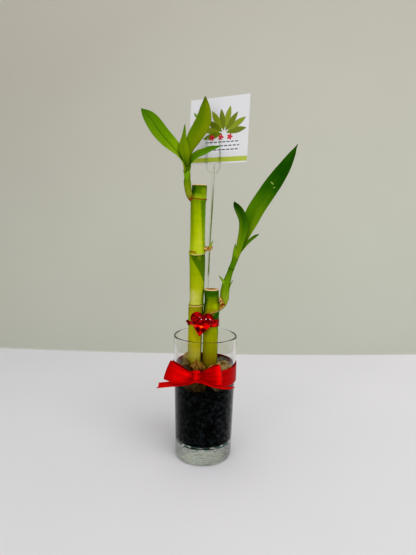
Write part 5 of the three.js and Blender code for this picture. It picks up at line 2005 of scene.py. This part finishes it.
@dataclass
class CharmStrap:
    """The strap that holds the charm: a soft flat band round both canes, drawn thin on the left."""

    height: float = 6.7
    drawn_height: float = 3.0
    drawn_rise: float = -0.8
    thickness: float = 0.5
    middle: float = 122.8
    gap: float = 0.1
    steps: int = 12
    finish: MouldedVinyl = field(default_factory=MouldedVinyl)

    def outline(self) -> tuple[np.ndarray, np.ndarray]:
        """Points and outward directions of the band's inner face, seen from above.

        Returns:
            The points and the directions, each with a row for every station.
        """
        left, right = (np.array([*cane.centre_at(self.middle)]) for cane in (TALL_CANE, SHORT_CANE))
        lean = math.atan2(*(right - left)[::-1])
        points, out = [], []
        quarter = math.pi / 2
        starts = ((TALL_CANE, left, lean + quarter), (SHORT_CANE, right, lean - quarter))
        for cane, centre, start in starts:
            angle = np.linspace(start, start + math.pi, 4 * self.steps + 1)
            way = np.column_stack([np.cos(angle), np.sin(angle)])
            points.append(centre + (along(cane.radius, self.middle) + self.gap) * way)
            out.append(way)
        share = np.arange(1, self.steps)[:, None] / self.steps
        under = points[0][-1] + (points[1][0] - points[0][-1]) * share
        over = points[1][-1] + (points[0][0] - points[1][-1]) * share
        ways = [np.repeat(out[k][-1:], self.steps - 1, axis=0) for k in (0, 1)]
        return np.vstack([points[0], under, points[1], over]), np.vstack([out[0], ways[0], out[1], ways[1]])

    def build(self) -> None:
        """Builds the band and the nub at its drawn end."""
        points, out = self.outline()
        left_edge = points[:, 0].min()
        share = eased((points[:, :1] - left_edge) / (SHORT_CANE.centre_at(self.middle)[0] - left_edge))
        half = (self.drawn_height + (self.height - self.drawn_height) * share) / 2
        middle = self.middle + self.drawn_rise * (1 - share)
        section = np.linspace(0, 2 * np.pi, 24, endpoint=False)
        depth = np.sign(np.cos(section)) * np.abs(np.cos(section)) ** 0.5
        rise = np.sign(np.sin(section)) * np.abs(np.sin(section)) ** 0.7
        proud = (depth + 1) / 2 * self.thickness + 0.12 * np.sin(2 * np.pi * rise) * (depth > 0)
        flat = points[:, None] + out[:, None] * proud[None, :, None]
        level = middle + half * rise
        band = hoop(np.dstack([flat, level]), level, np.arange(len(points))[:, None])
        x, y = TALL_CANE.centre_at(self.middle)
        edge = x - along(TALL_CANE.radius, self.middle) - self.gap
        rise_to = self.middle + self.drawn_rise
        # The nub, in steps from the left cane's middle and from the band's edge beside it
        nub = Stalk(
            ((edge + 1.6, y - 3.4, rise_to - 2), (edge, y - 3, rise_to),
                (edge - 1.2, y - 2.6, rise_to + 1.9)),
            ((0, 1.1), (0.35, 1.3), (0.6, 0.8), (0.85, 1.4), (1, 0.7)), lump=0.3, lump_size=1.2, rings=24,
            sides=18
        )
        shape = band.with_others(nub.shape())
        dress(shape, "charm_strap", [self.finish.material()], "charm_band")


@dataclass
class HeartCharm:
    """The acrylic heart: a cut stone with a flat back, a girdle and rings of facets in front."""

    width: float = 20.3
    height: float = 20.9
    tilt: float = 8.6
    lobe: float = 0.27  # a lobe's radius as a share of the width
    flank: tuple[float, float] = (3.6, -2.6)  # the corner of its side: how far in, and its level
    notch: float = 0.42  # how high the notch lies, as a share of a lobe's radius above its middle
    centre: Point = (-3.7, -14.6, 122.7)
    layers: Table = ((3.4, 0.72), (0.9, 1), (-0.6, 1), (-2.2, 0.86), (-3.3, 0.64), (-3.8, 0.36))
    finish: FoilBackedAcrylic = field(default_factory=FoilBackedAcrylic)

    def outline(self) -> np.ndarray:
        """Corners of the girdle, from the tip up the right side and down the left.

        Returns:
            Across and up of each corner.
        """
        lobe = self.width * self.lobe
        shoulder = self.height / 2 - lobe
        points = [(0, -self.height / 2), (self.width / 2 - self.flank[0], self.flank[1])]
        points += arc((self.width / 2 - lobe, shoulder), lobe, -0.35, math.pi * 0.8, 6)
        left = [(-x, z) for x, z in reversed(points[1:])]
        return np.array([*points, (0, shoulder + lobe * self.notch), *left])

    def build(self) -> None:
        """Cuts the heart, with its own millimetres across and up as its surface coordinates."""
        rim = self.outline()
        pinch = np.array([0, self.height * 0.06])
        rings = []
        for at, share in self.layers:
            rings.append(np.column_stack([pinch + (rim - pinch) * share, np.full(len(rim), at)]))
        cut = skin(np.array(rings), np.zeros(len(rings)))
        facets = []
        for face in cut.faces:
            facets += [face[:3], (face[0], *face[2:])] if len(face) == 4 else [face]
        across, up, depth = cut.vertices.T
        angle = math.radians(self.tilt)
        x = across * math.cos(angle) + up * math.sin(angle)
        z = up * math.cos(angle) - across * math.sin(angle)
        placed = np.column_stack([x, depth, z]) + np.array(self.centre)
        shape = Shape(placed, facets, cut.vertices[:, :2])
        dress(shape, "acrylic_heart", [self.finish.material()], "heart_charm", smooth=False)


@dataclass
class PrintedCard:
    """The square card behind the plant, printed with a plain spray of leaves and three blossoms."""

    width: float = 56.2
    height: float = 56.2
    thickness: float = 0.5
    centre: Point = (7.4, 10.85, 288.7)
    yaw: float = -26.2
    pitch: float = -2.7
    roll: float = 0.3
    steps: int = 12

    def marks(self) -> list[Mark]:
        """The print: a spray of olive leaves, pale sprigs at the left and a row of red blossoms.

        Returns:
            The marks, in the order that they are printed in.
        """
        marks = []
        for k in range(9):
            tilt = 8 + 23 * k
            reach = 0.2 + 0.04 * (k % 2)
            across = 0.6 + reach * math.cos(math.radians(tilt))
            up = 0.46 + reach * math.sin(math.radians(tilt))
            marks.append(Mark(across, up, 0.17, 0.0475, tilt, ("#66740c", "#7f8e1c")[k % 2]))
        for k in range(7):
            across, up, tilt = 0.1 + 0.035 * (k % 2), 0.34 + 0.07 * k, 130 - 80 * (k % 2)
            marks.append(Mark(across, up, 0.06, 0.0225, tilt, "#6f8f3a"))
        marks += [Mark(0.4 + 0.15 * k, 0.395, 0.05, 0.05, 0, "#c8303c", blossom=True) for k in range(3)]
        return marks

    def turn(self) -> np.ndarray:
        """Turns by pitch, roll and yaw as one matrix."""
        x, y, z = (math.radians(a) for a in (self.pitch, self.roll, self.yaw))
        return np.array(Euler((x, y, z), "XYZ").to_matrix())

    def build(self) -> None:
        """Builds the card and prints its face; its back and edges are plain board."""
        across = np.linspace(-0.5, 0.5, self.steps + 1)
        x, z = np.meshgrid(across * self.width, across * self.height)
        faces = [
            np.stack([x, np.full_like(x, depth), z], axis=-1) @ self.turn().T + np.array(self.centre)
            for depth in (-self.thickness / 2, self.thickness / 2)
        ]
        uv = np.stack([x / self.width + 0.5, z / self.height + 0.5], axis=-1)
        shape = plate(*faces, uv)
        printed = self.steps**2
        shape.slots = [0] * printed + [1] * (len(shape.faces) - printed)
        finishes = [CoatedBoard(self.marks()).printed(), CoatedBoard().plain()]
        dress(shape, "printed_card", finishes, "card", smooth=False)


@dataclass
class Studio:
    """Pale table and backdrop with painted light, a painted shadow strip, soft lights and the camera."""

    lens_mm: float = 27.05
    sensor_mm: float = 36.0
    eye: Point = (1.24, -363.3, 204.4)
    pitch: float = 6.73
    roll: float = 1.24
    table_level: float = -0.1
    table_back: float = 299.5
    table_bow: tuple[float, float] = (0.0208, 0.000123)  # slope of its far edge, and how it curves
    edge_reach: int = 700
    edge_step: int = 50
    # Height of the painted shadow strip along the table's far edge
    shadow_strip: float = 2.2
    wall_distance: float = 900.0
    wall_foot: float = -500.0
    reach: float = 1600.0
    room_tint: str = "#e9eaec"
    room_light: float = 0.57
    # Name, place, aim, side, watts and colour
    lights: Sequence[tuple[str, Point, Point, float, float, str]] = (
        ("key", (900, -1200, 1700), (0, 300, 200), 1700, 24.5, "#fefeff"),
        ("top", (-250, 150, 1600), (0, 50, 0), 900, 2, "#fdfeff"),
        ("fill", (-600, -1100, 600), (0, 0, 40), 900, 5, "#fdfeff")
    )
    # A photograph's deeper shadows: light level and level shown
    response: Table = ((0.02, 0.008), (0.05, 0.032), (0.1, 0.088), (0.18, 0.178), (0.3, 0.3))

    def camera(self) -> None:
        """Makes the camera at the photograph's place."""
        data = bpy.data.cameras.new("camera")
        data.lens = self.lens_mm
        data.sensor_width = self.sensor_mm
        data.dof.use_dof = False
        data.clip_start = 0.01
        camera = show("camera", data)
        camera.rotation_mode = "ZYX"
        camera.location = [c * MM for c in self.eye]
        camera.rotation_euler = (math.radians(90 - self.pitch), 0, math.radians(self.roll))
        bpy.context.scene.camera = camera

    def light(self, name: str, place: Point, aim: Point, size: float, watts: float, colour: str) -> None:
        """Adds one soft square light.

        Args:
            name: The light's name.
            place: Where it hangs.
            aim: What it looks at.
            size: Its side.
            watts: Its power.
            colour: Its colour.
        """
        data = bpy.data.lights.new(name, "AREA")
        data.size = size * MM
        data.energy = watts
        data.color = linear(colour)[:3]
        lamp = show(name, data)
        lamp.location = [c * MM for c in place]
        way = Vector(aim) - Vector(place)
        lamp.rotation_euler = way.to_track_quat("-Z", "Y").to_euler()

    def paint(self, name: str, low: str, high: str, patch_mm: float, ways: Point) -> Material:
        """A matt paint whose tone drifts a little: painted light along the given ways, and a random cloud.

        Args:
            name: The material's name.
            low: Tone where the drift starts.
            high: Tone where it ends.
            patch_mm: How far one drift reaches.
            ways: How much of each direction of the room drives the drift of painted light.

        Returns:
            The material.
        """
        material, put = new_material(name)
        place = put("TexCoord").outputs["Object"]
        cloud = put("TexNoise", [place, 1 / (patch_mm * MM), 2])
        # Painted light: the tone brightens along the given ways
        drift = put("VectorMath DOT_PRODUCT", [place, ways])
        share = put("Math MULTIPLY_ADD", [cloud, 0.3, drift])
        tone = put("ValToRGB", [share], stops=[(0, low), (1, high)])
        shade(put, Base_Color=tone, Roughness=0.8, Specular_IOR_Level=0.1)
        return material

    def sheet_of(self, name: str, points: Sequence[Point], material: Material) -> None:
        """Adds a flat stage piece.

        Args:
            name: Its name.
            points: Its corners, in order round it.
            material: Its material.
        """
        mesh = bpy.data.meshes.new(name)
        mesh.from_pydata([[c * MM for c in point] for point in points], [], [tuple(range(len(points)))])
        mesh.materials.append(material)
        show(name, mesh)

    def build(self) -> None:
        """Sets the table with its bowed far edge, the painted shadow strip behind it, the backdrop and the
        lights.
        """
        # Painted light: the table brightens to the right and away, the wall to the right and lower down
        laminate_with_painted_light = self.paint("white_laminate_painted_light", "#dcdbdc", "#f6f3f5", 200, (0.9, 0.5, 0))
        shadow_gap = self.paint("shadow_strip_paint", "#c4c3ba", "#d0cfc6", 200, (0, 0, 0))
        wall_paint_with_painted_light = self.paint("wall_paint_with_painted_light", "#bdb8ab", "#d6d9c8", 400, (0.35, 0.62, -0.8))
        level, reach, wall, foot = self.table_level, self.reach, self.wall_distance, self.wall_foot
        slope, bow = self.table_bow
        stations = range(self.edge_reach, -self.edge_reach - 1, -self.edge_step)
        far_edge = [(x, self.table_back + slope * x + bow * x * x, level) for x in stations]
        near = [(-reach, -reach, level), (reach, -reach, level)]
        self.sheet_of(
            "table", near + [(reach, far_edge[0][1], level), *far_edge, (-reach, far_edge[-1][1], level)],
            laminate_with_painted_light
        )
        # Painted shadow: a thin darker strip upright along the far edge, where shade falls between table and
        # wall
        for (x0, y0, _), (x1, y1, _) in zip(far_edge, far_edge[1:]):
            top = level + self.shadow_strip
            corners = [(x0, y0, level), (x1, y1, level), (x1, y1, top), (x0, y0, top)]
            self.sheet_of(f"shadow_strip_{x0}", corners, shadow_gap)
        self.sheet_of(
            "backdrop",
            [(-reach, wall, foot), (reach, wall, foot), (reach, wall, reach), (-reach, wall, reach)],
            wall_paint_with_painted_light
        )
        world = bpy.data.worlds.new("room")
        bpy.context.scene.world = world
        world.use_nodes = True
        glow = world.node_tree.nodes["Background"].inputs
        glow["Color"].default_value = linear(self.room_tint)
        glow["Strength"].default_value = self.room_light
        for light in self.lights:
            self.light(*light)
        view = bpy.context.scene.view_settings
        view.view_transform = "Standard"
        view.use_curve_mapping = True
        response = view.curve_mapping.curves[3]
        for level, shown in self.response:
            response.points.new(level, shown)
        view.curve_mapping.update()


def main() -> None:
    """Builds the whole dressed part in order."""
    logging.basicConfig(level=logging.INFO, format="%(name)s %(message)s")
    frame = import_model()
    log.info("frame with %d nodes", len(frame["nodes"]))
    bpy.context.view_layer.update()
    studio = Studio()
    studio.camera()
    tumbler = Tumbler()
    tumbler.build()
    GravelBed(tumbler).build()
    PebbleTop().build()
    husk = DryHusk().material()
    for cane in (TALL_CANE, SHORT_CANE):
        cane.build()
    for shoot in (TALL_SHOOT, SHORT_SHOOT):
        shoot.build(husk)
    SideBud().build(husk)
    for leaf in LEAVES:
        leaf.build()
    SatinBow(tumbler).build()
    CharmStrap().build()
    HeartCharm().build()
    PrintedCard().build()
    pick = frame["nodes"]["card_pick"]
    pick.data.materials.clear()
    pick.data.materials.append(ClearStyrene().material())
    studio.build()


if __name__ == "__main__":
    main()
